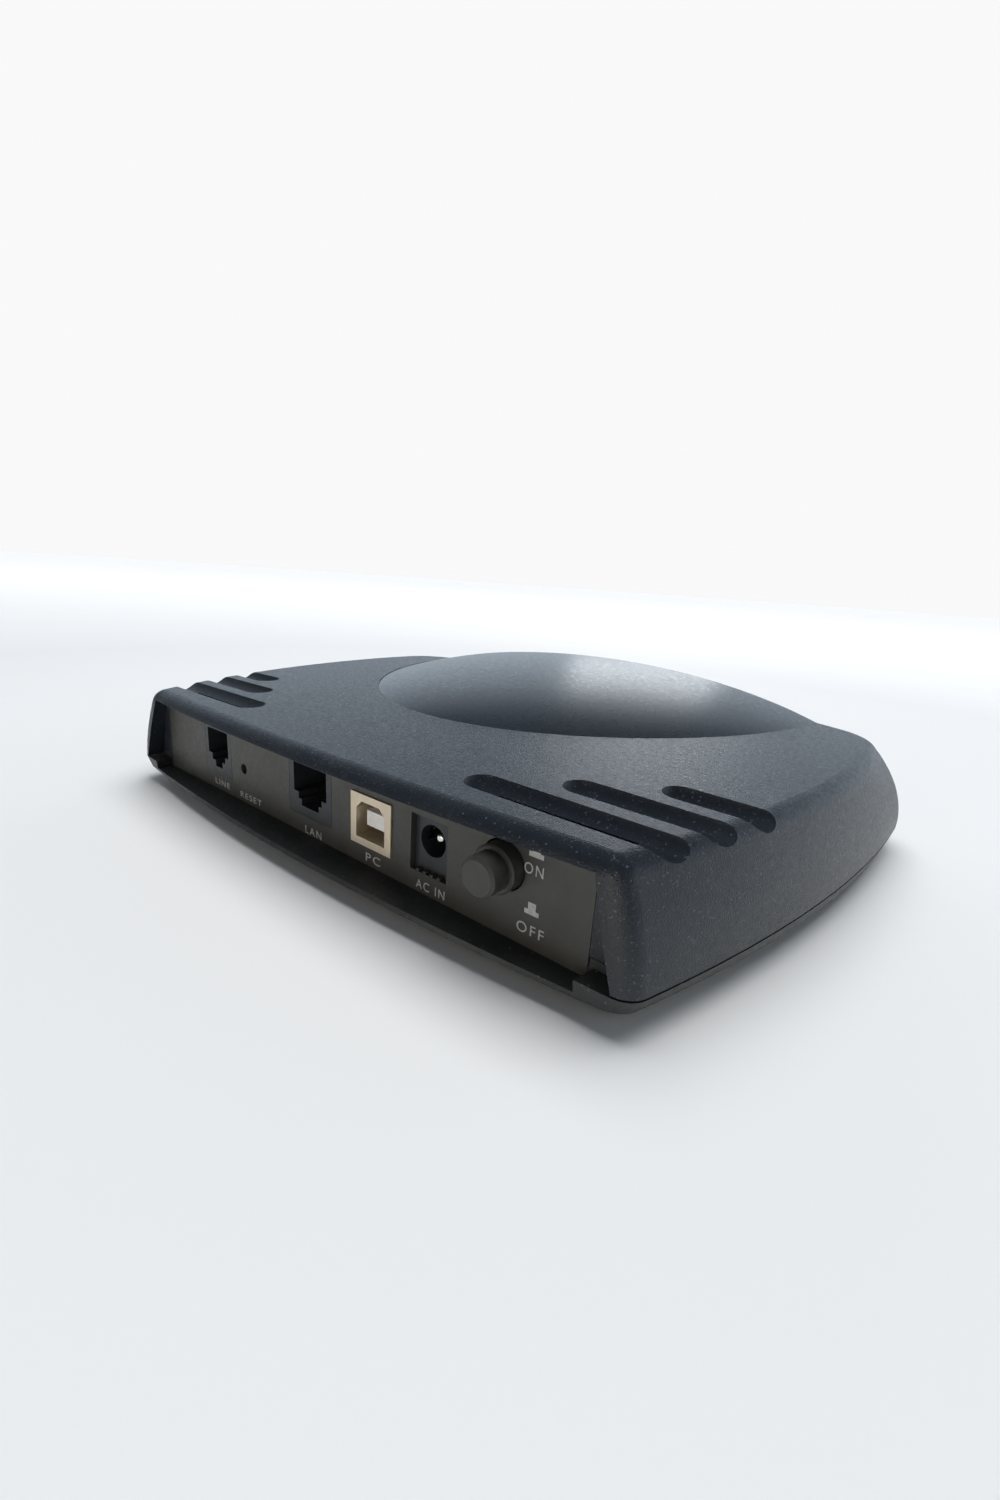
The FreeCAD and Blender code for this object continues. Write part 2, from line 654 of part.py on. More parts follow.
def lan_jack():
    """Eight-place network socket and its eight spring wires."""
    modular_jack("lan_jack_housing", "lanX", "lanWide", "lanTall", "lanDeep", "lanPlug",
                 [("8.4", 3.7, 5.3), ("6.2", 2.2, 3.8)])
    jack_contacts("lan_jack_contacts", "lanX", "lanDeep", 8)


def jack_contacts(label, centre, deep, count):
    """Spring wires along the roof of a socket, each a bar with a rear riser."""
    wires = []
    for place in range(count):
        x = f"{centre} + {(place - (count - 1) / 2) * 1.02:.2f} - 0.25"
        bar = box(f"{label}_bar_{place}", (0.5, f"{deep} - 5.5", 0.5), (x, f"rearY - {deep} + 2.3", "boardTop + 11.2"))
        riser = box(f"{label}_riser_{place}", (0.5, 0.5, 5), (x, f"rearY - {deep} + 2.3", "boardTop + 6.7"))
        wires.append(fuse(f"{label}_{place}", bar, riser))
    subpart(group(label + "_set", wires), label)


def data_port():
    """Square data socket: metal shell with a flange, insulator with a tongue, four contacts."""
    left = "dataX - dataWide / 2"
    body = new_body("data_shell_body")
    pad(body, rectangle(body, "data_shell_outline", "XZ_Plane", (left, "boardTop", "-rearY - 0.4"), "dataWide",
                        "dataTall"), "dataDeep + 0.4", False)
    low = "boardTop + (dataTall - dataOpeningTall) / 2"
    profile = sketch_on(body, "data_shell_mouth", "XZ_Plane", ("dataX", low, "-rearY - 1"))
    half, tall, bevel = number("dataOpening / 2"), number("dataOpeningTall"), number("dataChamfer")
    corners = [Vector(-half, 0), Vector(half, 0), Vector(half, tall - bevel), Vector(half - bevel, tall),
               Vector(bevel - half, tall), Vector(-half, tall - bevel)]
    for here, there in zip(corners, corners[1:] + corners[:1]):
        profile.addGeometry(Part.LineSegment(here, there))
    pocket(body, profile, "dataDeep - 1.5 + 1", True)
    subpart(body, "data_port_shell")
    tongue = box("data_tongue", (5.6, "dataDeep - 2.5 - 1.2", 3.2),
                 ("dataX - 2.8", "rearY - dataDeep + 2.5", "boardTop + 3.9"))
    back = box("data_back", ("dataOpening - 0.3", 1, "dataOpeningTall - 2.2"),
               ("dataX - dataOpening / 2 + 0.15", "rearY - dataDeep + 1.5", f"{low} + 0.1"))
    subpart(fuse("data_insulator", tongue, back), "data_port_insulator")
    contacts = [box(f"data_contact_{place}", (1.0, 8, 0.2),
                    (f"dataX + {x} - 0.5", "rearY - dataDeep + 4.5", f"boardTop + {z}"))
                for place, (x, z) in enumerate(((-1.25, 7.1), (1.25, 7.1), (-1.25, 3.7), (1.25, 3.7)))]
    subpart(group("data_contact_set", contacts), "data_port_contacts")


def power_jack():
    """Round low-voltage inlet: block with a blind hole, centre pin and side spring."""
    face = "rearY - inletRecess"
    block = box("inlet_block", ("inletWide", "inletDeep", "inletTall"),
                ("inletX - inletWide / 2", f"{face} - inletDeep", "boardTop"))
    hole = rod("inlet_hole", "inletHoleR", 10, ("inletX", face, "inletHoleZ"), "front")
    slot = box("inlet_spring_slot", (1.0, 7, 2.4),
               ("inletX + inletHoleR - 0.2", f"{face} - 9", "inletHoleZ - 1.2"))
    subpart(cut("inlet_cut", block, hole, slot), "power_jack_housing")
    pin = rod("inlet_pin", "inletPinR", 8.5, ("inletX", f"{face} - 10", "inletHoleZ"), "rear")
    subpart(rounded("inlet_pin_round", pin, "inletPinR - 0.4",
                    lambda edge: edge.BoundBox.YMin > number(f"{face} - 2")), "power_jack_pin")
    subpart(box("inlet_spring", (0.3, 6, 1.8),
                ("inletX + inletHoleR + 0.2", f"{face} - 8.5", "inletHoleZ - 0.9")),
            "power_jack_spring")


def switch_pin_places():
    """The six pins of the power switch, in two rows."""
    return [(f"buttonX + {x}", f"rearY - {9.5 + 3.5 * row}") for x in (-2.5, 2.5) for row in range(3)]


def power_switch():
    """Push-on push-off switch with its plunger, return spring and pins, and the cap that shows outside."""
    front = "rearY - 6.5"
    case = box("switch_case", (9, 13, 13), ("buttonX - 4.5", f"{front} - 13", "boardTop"))
    bore = box("switch_bore", ("shaftSide + 0.3", 11.5, "shaftSide + 0.3"),
               ("buttonX - shaftSide / 2 - 0.15", f"{front} - 11.5", "buttonZ - shaftSide / 2 - 0.15"))
    subpart(cut("switch_body_cut", case, bore), "power_switch_body")
    shaft = box("switch_shaft", ("shaftSide", 15, "shaftSide"),
                ("buttonX - shaftSide / 2", f"{front} - 8", "buttonZ - shaftSide / 2"))
    collar = rod("switch_collar", 3.4, 1, ("buttonX", "rearY - 1.2", "buttonZ"), "front")
    subpart(fuse("switch_plunger", shaft, collar), "power_switch_plunger")
    coils = fixed("switch_spring",
                  coil_spring(2.75, 0.2, 3, number("rearY - 2.3 - 0.2"), number(f"{front} + 0.25")))
    subpart(coils, "power_switch_spring")
    pins = [box(f"switch_pin_{place}", (0.6, 0.4, 4), (f"{x} - 0.3", f"{y} - 0.2", "boardTop - 4"))
            for place, (x, y) in enumerate(switch_pin_places())]
    subpart(group("switch_pin_set", pins), "power_switch_pins")
    button_cap()


def coil_spring(radius, wire, turns, rear, front):
    """An open coil about the switch shaft."""
    length = rear - front
    helix = Part.makeHelix(length / turns, length, radius)
    section = Part.Wire([Part.makeCircle(wire, Vector(radius, 0, 0), Vector(0, 1, 0))])
    coil = Part.Wire(helix).makePipeShell([section], True, True)
    coil.Placement = FreeCAD.Placement(Vector(number("buttonX"), front, number("buttonZ")), TURNS["rear"])
    return coil


def button_cap():
    """Round stepped cap with a square socket for the switch shaft."""
    body = new_body("cap_body")
    turned(body, "cap_profile", "XY_Plane", ("buttonX", "rearY", "buttonZ"), [
        (0, -1), ("buttonSkirtR", -1), ("buttonSkirtR", "buttonStep - 0.3"), ("buttonSkirtR - 0.3", "buttonStep"),
        ("buttonCapR", "buttonStep"), ("buttonCapR", "buttonOut - 0.5"), ("buttonCapR - 0.5", "buttonOut"),
        (0, "buttonOut")])
    doc.recompute()
    socket = rectangle(body, "cap_socket", "XZ_Plane",
                       ("buttonX - shaftSide / 2 - 0.05", "buttonZ - shaftSide / 2 - 0.05", "-rearY + 2"),
                       "shaftSide + 0.1", "shaftSide + 0.1")
    pocket(body, socket, 3.1)
    return subpart(body, "button_cap")


def reset_switch():
    """Side-pushed tact switch behind the reset hole."""
    face = "rearY - 3.6"
    case = box("reset_case", (7, 5, 8), ("resetX - 3.5", f"{face} - 5", "boardTop"))
    bore = rod("reset_bore", "plungerR + 0.1", 3, ("resetX", face, "resetZ"), "front")
    subpart(cut("reset_case_cut", case, bore), "reset_switch_body")
    plate = box("reset_plate", (7, 0.3, 8), ("resetX - 3.5", face, "boardTop"))
    lid = box("reset_lid", (7, 4, 0.3), ("resetX - 3.5", f"{face} - 3.7", "boardTop + 8"))
    cover_hole = rod("reset_cover_hole", "plungerR + 0.25", 2, ("resetX", "rearY - 2.5", "resetZ"), "front")
    subpart(cut("reset_cover_cut", fuse("reset_cover_bent", plate, lid), cover_hole), "reset_switch_cover")
    subpart(rod("reset_plunger_rod", "plungerR", 3.4, ("resetX", "rearY - 2.4", "resetZ"), "front"),
            "reset_plunger")


def chip(label, centre, wide, deep, tall, lead_rows, pitch):
    """A packaged chip and its bent leads; lead_rows says how many sides carry leads, 2 or 4."""
    x, y = centre
    subpart(rounded(label + "_round",
                    box(label + "_case", (wide, deep, tall), (x - wide / 2, y - deep / 2, "boardTop + 0.2")),
                    0.15, lambda edge: edge.BoundBox.ZMin > number("boardTop") + tall), label)
    leads = []
    for along, across, turned_row in ((wide, deep, False), (deep, wide, True))[:lead_rows // 2]:
        count = int((along - 2) / pitch)
        for place in range(count):
            offset = (place - (count - 1) / 2) * pitch
            for sign in (-1, 1):
                leads.append(chip_lead(f"{label}_lead_{len(leads)}", x, y, offset, sign * across / 2, sign, turned_row))
    subpart(group(label + "_lead_set", leads), label + "_leads")


def chip_lead(name, x, y, offset, reach, sign, turned_row):
    """One flat lead lying on the board beside its chip."""
    out = 1.0
    start = reach if sign > 0 else reach - out
    if turned_row:
        return box(name, (out, 0.3, 0.2), (x + start, y + offset - 0.15, "boardTop"))
    return box(name, (0.3, out, 0.2), (x + offset - 0.15, y + start, "boardTop"))


def heat_sink():
    """Finned aluminium block glued on the processor."""
    body = new_body("sink_body")
    pad(body, rectangle(body, "sink_outline", "XY_Plane", (-17, -7, "boardTop + 3.0"), 24, 24), 8)
    first = rectangle(body, "sink_gap", "XY_Plane", (-15.5, -7, "boardTop + 5.0"), 2, 24)
    gap = pocket(body, first, 10, True)
    pattern = body.newObject("PartDesign::LinearPattern", "sink_gaps")
    pattern.Originals = [gap]
    pattern.Direction = (first, ["H_Axis"])
    pattern.Length = 19
    pattern.Occurrences = 6
    body.Tip = pattern
    subpart(body, "heat_sink")
    subpart(box("pad_sheet", (20, 20, 0.6), (-15, -5, "boardTop + 2.4")), "thermal_pad")


def line_transformer():
    """Coupling transformer: ferrite frame round a wound bobbin."""
    frame = box("trafo_frame", (14, 13, 9), (38, 30, "boardTop + 1"))
    window = box("trafo_window", (9, 15, 6), (40.5, 29, "boardTop + 2.5"))
    leg = box("trafo_leg", (4, 12, 5), (43, 30.5, "boardTop + 3"))
    subpart(cut("trafo_core", frame, window), "transformer_core")
    coil = box("trafo_coil", (8.6, 11, 5.6), (40.7, 31, "boardTop + 2.7"))
    subpart(cut("trafo_winding", coil, leg), "transformer_winding")
    subpart(box("trafo_leg_solid", (3.8, 11.4, 4.8), (43.1, 30.8, "boardTop + 3.1")), "transformer_bobbin")
    base = box("trafo_base", (14, 13, 1), (38, 30, "boardTop"))
    subpart(base, "transformer_base")


def choke():
    """Ring choke of the power supply."""
    subpart(cut("choke_ring", rod("choke_outer", 5.6, 4, (-40, 32, "boardTop + 0.8")),
                rod("choke_inner", 3.0, 6, (-40, 32, "boardTop + 0.3"))), "choke_core")
    turns = []
    for place in range(10):
        angle = math.radians(36 * place)
        x, y = -40 + 4.3 * math.cos(angle), 32 + 4.3 * math.sin(angle)
        outer = box(f"choke_turn_{place}", (3.8, 0.9, 5.4), (-1.9, -0.45, -2.7))
        window = box(f"choke_gap_{place}", (2.8, 1.2, 4.2), (-1.4, -0.6, -2.1))
        loop = cut(f"choke_loop_{place}", outer, window)
        loop.Placement = FreeCAD.Placement(Vector(x, y, number("boardTop + 2.8")),
                                           Rotation(Vector(0, 0, 1), 36 * place))
        turns.append(loop)
    subpart(group("choke_winding_set", turns), "choke_winding")


CAPACITORS = (
    (-54, 34, 4.0, 11.5), (-54, 10, 4.0, 11.5), (-46, 18, 3.15, 9.0), (28, 44, 3.15, 9.0), (16, -16, 2.5, 7.0))


def capacitors():
    """Upright electrolytic cans, each with its crimped neck."""
    cans = []
    for place, (x, y, radius, tall) in enumerate(CAPACITORS):
        can = rod(f"can_{place}", radius, tall, (x, y, "boardTop"))
        neck = ring(f"can_neck_{place}", radius + 0.15, 0.4, (x, y, "boardTop + 1.6"))
        cans.append(cut(f"can_cut_{place}", can, neck))
    subpart(group("can_set", cans), "capacitor_cans")


def small_parts():
    """Crystal, lamps, light guides, regulator, surge tube and the rows of chip parts."""
    crystal = rounded("crystal_round", box("crystal_block", (11, 4.6, 3.6), (9, 24, "boardTop")), 1.8,
                      lambda edge: edge.BoundBox.ZLength > 3)
    subpart(crystal, "crystal_can")
    subpart(box("regulator_block", (6.5, 6, 2.3), (-38, 14, "boardTop")), "voltage_regulator")
    subpart(box("regulator_tab_block", (5.4, 1.4, 0.6), (-37.5, 20, "boardTop")), "regulator_tab")
    subpart(box("magnetics_block", (16, 9, 6), (-5.7, 32, "boardTop")), "lan_transformer")
    subpart(rod("surge_rod", 3, 6, (28, 34, "boardTop + 3.0"), "right"), "surge_tube")
    lamps = []
    guides = []
    for place in range(int(number("lampCount"))):
        x = f"({place} - 2) * lampPitch"
        lamps.append(box(f"lamp_{place}", (3, 2, 2.6), (f"{x} - 1.5", "rearY - boardFront + 1", "boardTop")))
        bar = box(f"guide_bar_{place}", (3, 36, 3), (f"{x} - 1.5", "rearY - boardFront - 36", "boardTop + 3.5"))
        drop = box(f"guide_drop_{place}", (3, 3, 3.8), (f"{x} - 1.5", "rearY - boardFront", "boardTop + 2.7"))
        guides.append(fuse(f"guide_{place}", bar, drop))
    subpart(group("lamp_set", lamps), "status_leds")
    subpart(group("guide_set", guides), "light_guides")
    for label, (wide, deep, tall), origin, step in (("chip_resistors", (1.6, 0.8, 0.5), (-32, 38), 2.6),
                                                    ("chip_capacitors", (1.6, 0.9, 0.9), (10, -28), 2.8)):
        pieces = [box(f"{label}_{place}", (wide, deep, tall),
                      (origin[0] + step * (place % 6), origin[1] + 2.4 * (place // 6), "boardTop"))
                  for place in range(18)]
        subpart(group(label + "_set", pieces), label)


def board_parts():
    """Everything that sits on the board."""
    line_jack()
    reset_switch()
    lan_jack()
    data_port()
    power_jack()
    power_switch()
    chip("main_chip", (-5, 5), 24, 24, 2.2, 4, 1.0)
    heat_sink()
    chip("memory_chip", (22, 2), 10, 22, 1.2, 2, 1.0)
    chip("flash_chip", (-32, -8), 14, 11, 2.6, 4, 1.27)
    chip("line_driver_chip", (44, 14), 12, 7.5, 2.2, 2, 1.27)
    line_transformer()
    choke()
    capacitors()
    small_parts()


def build():
    """Makes every sub-part, checks it and writes it out."""
    top_cover()
    dome_cover()
    base_cover()
    rubber_feet()
    rating_label()
    rear_panel()
    front_lens()
    screws("case_screws", case_screw_places(), 15, "floorZ + 3", "pilotR - 0.05", True)
    screws("board_screws", board_screw_places(), 5.5, "boardTop", "pilotR - 0.05", False)
    circuit_board()
    board_parts()
    doc.recompute()
    for thing in doc.Objects:
        if "Invalid" in thing.State or "Error" in thing.State:
            raise ValueError(f"{thing.Name} ({thing.Label}) failed: {thing.State}")
    os.makedirs("parts", exist_ok=True)
    for node in SUBPARTS:
        if node.Shape.isNull() or not node.Shape.isValid() or not node.Shape.Solids:
            raise ValueError(f"{node.Label} has no valid solid")
    for node in SUBPARTS:
        node.Shape.exportStep(f"parts/{node.Label}.step")
    print(f"{len(SUBPARTS)} nodes")


build()
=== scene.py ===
"""Looks of a broadband modem: finishes, printed legends, small trim and a plain studio."""

import logging
import math
from collections.abc import Callable
from dataclasses import dataclass, field
from enum import Enum

import bmesh
import bpy
from mathutils import Matrix, Vector


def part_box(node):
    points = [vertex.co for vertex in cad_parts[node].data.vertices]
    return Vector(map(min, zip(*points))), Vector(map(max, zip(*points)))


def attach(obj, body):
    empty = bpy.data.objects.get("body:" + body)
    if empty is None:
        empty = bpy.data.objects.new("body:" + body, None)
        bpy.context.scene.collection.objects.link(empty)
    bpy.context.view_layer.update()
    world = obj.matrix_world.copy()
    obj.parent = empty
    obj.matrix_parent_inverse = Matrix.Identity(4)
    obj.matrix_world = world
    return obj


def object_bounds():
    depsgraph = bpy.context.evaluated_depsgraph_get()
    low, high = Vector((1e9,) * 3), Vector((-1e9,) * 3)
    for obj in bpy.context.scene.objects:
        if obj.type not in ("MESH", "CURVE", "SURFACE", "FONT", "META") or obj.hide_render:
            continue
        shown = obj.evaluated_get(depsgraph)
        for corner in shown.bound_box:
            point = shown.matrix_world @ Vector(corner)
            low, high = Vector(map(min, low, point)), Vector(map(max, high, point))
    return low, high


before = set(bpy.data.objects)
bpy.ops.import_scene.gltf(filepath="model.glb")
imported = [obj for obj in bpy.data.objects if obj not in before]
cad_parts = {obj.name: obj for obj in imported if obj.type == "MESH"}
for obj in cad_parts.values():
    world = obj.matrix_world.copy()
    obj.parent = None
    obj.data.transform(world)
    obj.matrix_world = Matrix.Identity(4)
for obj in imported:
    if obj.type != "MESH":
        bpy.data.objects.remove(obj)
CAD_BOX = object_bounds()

LOG = logging.getLogger("modem")
MM = 0.001
Colour = tuple[float, float, float]
Span = tuple[float, float]
Socket = bpy.types.NodeSocket


class Body(Enum):
    """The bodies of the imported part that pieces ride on."""

    CASE = "case"
    BUTTON = "button"
    RESET = "reset"


class Grain(Enum):
    """How the fine relief of a surface lies."""

    EVEN = (1.0, 1.0, 1.0)
    ALONG_X = (0.04, 1.0, 1.0)
    ALONG_Y = (1.0, 0.04, 1.0)
    ALONG_Z = (1.0, 1.0, 0.04)


class SwitchState(Enum):
    """The two printed push-switch symbols, by how far the small key stands above its block."""

    PRESSED = 0.35
    OUT = 1.3


# ---- finishes ------------------------------------------------------------------------------------


class Recipe:
    """A material's node tree, with short calls that add nodes and join them."""

    def __init__(self, name: str) -> None:
        """Starts a material with a principled shader.

        Args:
            name: the material's name.
        """
        self.material = bpy.data.materials.new(name)
        self.material.use_nodes = True
        self.tree = self.material.node_tree
        self.shader = self.tree.nodes["Principled BSDF"]
        self.place = self.tree.nodes.new("ShaderNodeTexCoord").outputs["Object"]
        self.spot = self.tree.nodes.new("ShaderNodeNewGeometry").outputs["Position"]
        self.relief_normal: Socket | None = None

    def feed(self, target: Socket, value: Socket | Colour | float) -> None:
        """Joins a socket to an input, or writes a plain number or colour on it.

        Args:
            target: the input.
            value: the socket, colour or number for it.
        """
        if isinstance(value, bpy.types.NodeSocket):
            self.tree.links.new(value, target)
        elif isinstance(value, tuple) and len(value) == 3 and target.type == "RGBA":
            target.default_value = (*value, 1.0)
        else:
            target.default_value = value

    def set(self, name: str, value: Socket | Colour | float) -> None:
        """Writes or joins one input of the shader."""
        self.feed(self.shader.inputs[name], value)

    def height(self) -> Socket:
        """The height above the table, in metres."""
        node = self.tree.nodes.new("ShaderNodeSeparateXYZ")
        self.feed(node.inputs[0], self.spot)
        return node.outputs["Z"]

    def reach(self) -> Socket:
        """The distance from the middle of the table, in metres."""
        node = self.tree.nodes.new("ShaderNodeVectorMath")
        node.operation = "LENGTH"
        self.feed(node.inputs[0], self.spot)
        return node.outputs["Value"]

    def stretched(self, grain: Grain) -> Socket:
        """The place on the object, squeezed along the grain."""
        node = self.tree.nodes.new("ShaderNodeMapping")
        self.feed(node.inputs["Vector"], self.place)
        node.inputs["Scale"].default_value = grain.value
        return node.outputs["Vector"]

    def noise(self, size: float, detail: float = 3.0, grain: Grain = Grain.EVEN) -> Socket:
        """Cloudy noise.

        Args:
            size: the size of its clouds in metres.
            detail: how many finer layers it has.
            grain: the direction in which it is drawn out.

        Returns:
            A value that is mostly from 0.3 to 0.7.
        """
        node = self.tree.nodes.new("ShaderNodeTexNoise")
        self.feed(node.inputs["Vector"], self.stretched(grain))
        node.inputs["Scale"].default_value = 1.0 / size
        node.inputs["Detail"].default_value = detail
        return node.outputs["Fac"]

    def cells(self, size: float, output: str = "Distance") -> Socket:
        """Small cells, each with its own shade.

        Args:
            size: the width of a cell in metres.
            output: Distance from the middle, or Color.

        Returns:
            The chosen output.
        """
        node = self.tree.nodes.new("ShaderNodeTexVoronoi")
        self.feed(node.inputs["Vector"], self.place)
        node.inputs["Scale"].default_value = 1.0 / size
        return node.outputs[output]

    def bands(self, size: float, axis: str) -> Socket:
        """Even ridges across an axis.

        Args:
            size: the distance from ridge to ridge in metres.
            axis: X, Y or Z.

        Returns:
            A value from 0 to 1.
        """
        node = self.tree.nodes.new("ShaderNodeTexWave")
        self.feed(node.inputs["Vector"], self.place)
        node.wave_type = "BANDS"
        node.bands_direction = axis
        node.inputs["Scale"].default_value = math.tau / 20.0 / size
        return node.outputs["Fac"]

    def spread(self, value: Socket, low: float, high: float, to: Span = (0.0, 1.0)) -> Socket:
        """Maps a value from low..high onto a span, without going past its ends."""
        node = self.tree.nodes.new("ShaderNodeMapRange")
        self.feed(node.inputs["Value"], value)
        for name, amount in zip(("From Min", "From Max", "To Min", "To Max"), (low, high, *to)):
            node.inputs[name].default_value = amount
        return node.outputs["Result"]

    def blend(self, amount: Socket, first: Socket | Colour, second: Socket | Colour) -> Socket:
        """A colour between two, by amount."""
        node = self.tree.nodes.new("ShaderNodeMix")
        node.data_type = "RGBA"
        self.feed(node.inputs[0], amount)
        self.feed(node.inputs[6], first)
        self.feed(node.inputs[7], second)
        return node.outputs[2]

    def calc(self, operation: str, first: Socket | float, second: Socket | float) -> Socket:
        """One sum on two values."""
        node = self.tree.nodes.new("ShaderNodeMath")
        node.operation = operation
        self.feed(node.inputs[0], first)
        self.feed(node.inputs[1], second)
        return node.outputs[0]

    def emboss(self, height: Socket, depth: float, strength: float = 1.0) -> None:
        """Adds relief on top of any that the surface already has.

        Args:
            height: the relief, from 0 to 1.
            depth: how high 1 stands, in metres.
            strength: how much of it shows.
        """
        node = self.tree.nodes.new("ShaderNodeBump")
        node.inputs["Strength"].default_value = strength
        node.inputs["Distance"].default_value = depth
        self.feed(node.inputs["Height"], height)
        if self.relief_normal is not None:
            self.feed(node.inputs["Normal"], self.relief_normal)
        self.relief_normal = node.outputs["Normal"]
        self.set("Normal", self.relief_normal)


@dataclass(frozen=True)
class Finish:
    """A surface with uneven colour, uneven gloss and fine relief. Its lengths are in millimetres.

    Args:
        name: the material's name.
        colour: the main colour, linear.
        accent: the colour of its patches.
        gloss: the roughness where it is smoothest and where it is dullest.
        metallic: how far it is a metal.
        specular: the strength of its reflection where it isn't a metal.
        patch: the size of its patches.
        grain: the size of its relief.
        relief: the height of its relief.
        lay: the direction of its relief.
    """

    name: str
    colour: Colour
    accent: Colour
    gloss: Span = (0.4, 0.55)
    metallic: float = 0.0
    specular: float = 0.5
    patch: float = 6.0
    grain: float = 0.3
    relief: float = 0.01
    lay: Grain = Grain.EVEN

    def make(self) -> bpy.types.Material:
        """Builds the material.

        Returns:
            A material of this finish.
        """
        recipe = Recipe(self.name)
        recipe.set("Metallic", self.metallic)
        recipe.set("Specular IOR Level", self.specular)
        self.paint(recipe)
        self.shape(recipe)
        return recipe.material

    def paint(self, recipe: Recipe) -> None:
        """Colours the surface and sets its gloss."""
        cloud = recipe.noise(self.patch * MM, 5.0, self.lay)
        recipe.set("Base Color", recipe.blend(recipe.spread(cloud, 0.35, 0.65), self.colour, self.accent))
        fine = recipe.noise(self.grain * 4 * MM, 2.0, self.lay)
        recipe.set("Roughness", recipe.spread(fine, 0.3, 0.7, self.gloss))

    def shape(self, recipe: Recipe) -> None:
        """Adds the fine relief."""
        recipe.emboss(recipe.noise(self.grain * MM, 3.0, self.lay), self.relief * MM)


@dataclass(frozen=True)
class SparklePlastic(Finish):
    """Spark-eroded plastic with metal flakes in it, a few scuffs, a soft dusty bloom and painted shade at
    the joint along its foot.

    Args:
        flake: the size of a flake.
        flake_colour: the colour of the brightest flakes.
        flake_share: the share of the cells that hold a bright flake.
        scuffs: how much the light scuff marks show.
        scuff_colour: the colour of those marks.
        seam: the height of the joint at the foot of the shell, in millimetres; at and below it the colour is
            painted shade, standing in for the shadow in the joint's gap.
        line: how far the joint's shadow reaches up from there, in millimetres.
        shadow: the colour in the joint.
        flake_gloss: how much smoother a flake is than the plastic round it.
        wave: the length of the faint waviness, in millimetres.
        wave_rise: the height of the waviness, in millimetres.
    """

    flake: float = 0.27
    flake_colour: Colour = (0.16, 0.175, 0.195)
    flake_share: float = 0.16
    scuffs: float = 0.25
    scuff_colour: Colour = (0.3, 0.31, 0.31)
    seam: float = 0.0
    line: float = 0.4
    shadow: Colour = (0.001, 0.001, 0.001)
    flake_gloss: float = 0.16
    wave: float = 14.0
    wave_rise: float = 0.05

    def paint(self, recipe: Recipe) -> None:
        """Colours the surface, sprinkles flakes and scuffs over it, then paints shade along the joint at its
        foot.
        """
        cloud = recipe.noise(self.patch * MM, 5.0)
        ground = recipe.blend(recipe.spread(cloud, 0.35, 0.65), self.colour, self.accent)
        shade = recipe.cells(self.flake * MM, "Color")
        flakes = recipe.spread(shade, 1.0 - self.flake_share, 1.0)
        ground = recipe.blend(flakes, ground, self.flake_colour)
        dots = recipe.spread(recipe.noise(1.1 * MM, 2.0), 0.74, 0.8)
        rubbed = recipe.spread(recipe.noise(19 * MM, 2.0), 0.55, 0.68)
        marks = recipe.calc("MULTIPLY", recipe.calc("MULTIPLY", dots, rubbed), self.scuffs)
        worn = recipe.blend(marks, ground, self.scuff_colour)
        # Painted shade: from 0.4 mm above the seam height downwards, the colour fades to the shadow colour
        # and the reflection fades out, standing in for the shadow in the joint's gap.
        above_seam = recipe.calc("SUBTRACT", recipe.height(), self.seam * MM)
        joint = recipe.spread(above_seam, self.line * MM, self.line * 0.5 * MM)
        recipe.set("Base Color", recipe.blend(joint, worn, self.shadow))
        recipe.set("Specular IOR Level", recipe.spread(joint, 0.0, 0.6, (self.specular, 0.0)))
        dull = recipe.spread(recipe.noise(self.grain * 3 * MM, 2.0), 0.3, 0.7, self.gloss)
        polished = recipe.calc("MULTIPLY", flakes, self.flake_gloss)
        recipe.set("Roughness", recipe.calc("SUBTRACT", dull, polished))

    def shape(self, recipe: Recipe) -> None:
        """Adds the eroded texture, the tilt of each flake and a faint waviness."""
        recipe.emboss(recipe.noise(self.wave * MM, 2.0), self.wave_rise * MM, 0.5)
        recipe.emboss(recipe.noise(self.grain * MM, 3.0), self.relief * MM)
        recipe.emboss(recipe.cells(self.flake * MM), self.relief * 0.8 * MM, 0.8)


@dataclass(frozen=True)
class BoardLaminate(Finish):
    """Solder mask over copper: thin tracks, round vias and a pale glass weave.

    Args:
        track: the width of a track's grid.
        via: the distance between vias.
        weave: the pitch of the glass weave.
        copper: the colour of mask over copper.
        pad_colour: the colour of a bare pad.
    """

    track: float = 2.2
    via: float = 3.4
    weave: float = 0.5
    copper: Colour = (0.02, 0.17, 0.06)
    pad_colour: Colour = (0.6, 0.55, 0.42)

    def paint(self, recipe: Recipe) -> None:
        """Colours the mask, its tracks and its vias."""
        lines = recipe.tree.nodes.new("ShaderNodeTexVoronoi")
        lines.distance = "MANHATTAN"
        lines.feature = "F2"
        recipe.feed(lines.inputs["Vector"], recipe.place)
        lines.inputs["Scale"].default_value = 1.0 / (self.track * MM)
        wave = recipe.calc("PINGPONG", lines.outputs["Distance"], 0.12)
        tracks = recipe.spread(wave, 0.05, 0.07)
        ground = recipe.blend(tracks, self.colour, self.copper)
        vias = recipe.spread(recipe.cells(self.via * MM), 0.12, 0.09)
        pitch = self.weave * MM
        weave = recipe.calc("MULTIPLY", recipe.bands(pitch, "X"), recipe.bands(pitch, "Y"))
        ground = recipe.blend(recipe.calc("MULTIPLY", weave, 0.25), ground, self.accent)
        recipe.set("Base Color", recipe.blend(vias, ground, self.pad_colour))
        recipe.set("Roughness", recipe.spread(recipe.noise(1.5 * MM), 0.3, 0.7, self.gloss))
        recipe.emboss(tracks, 0.03 * MM)


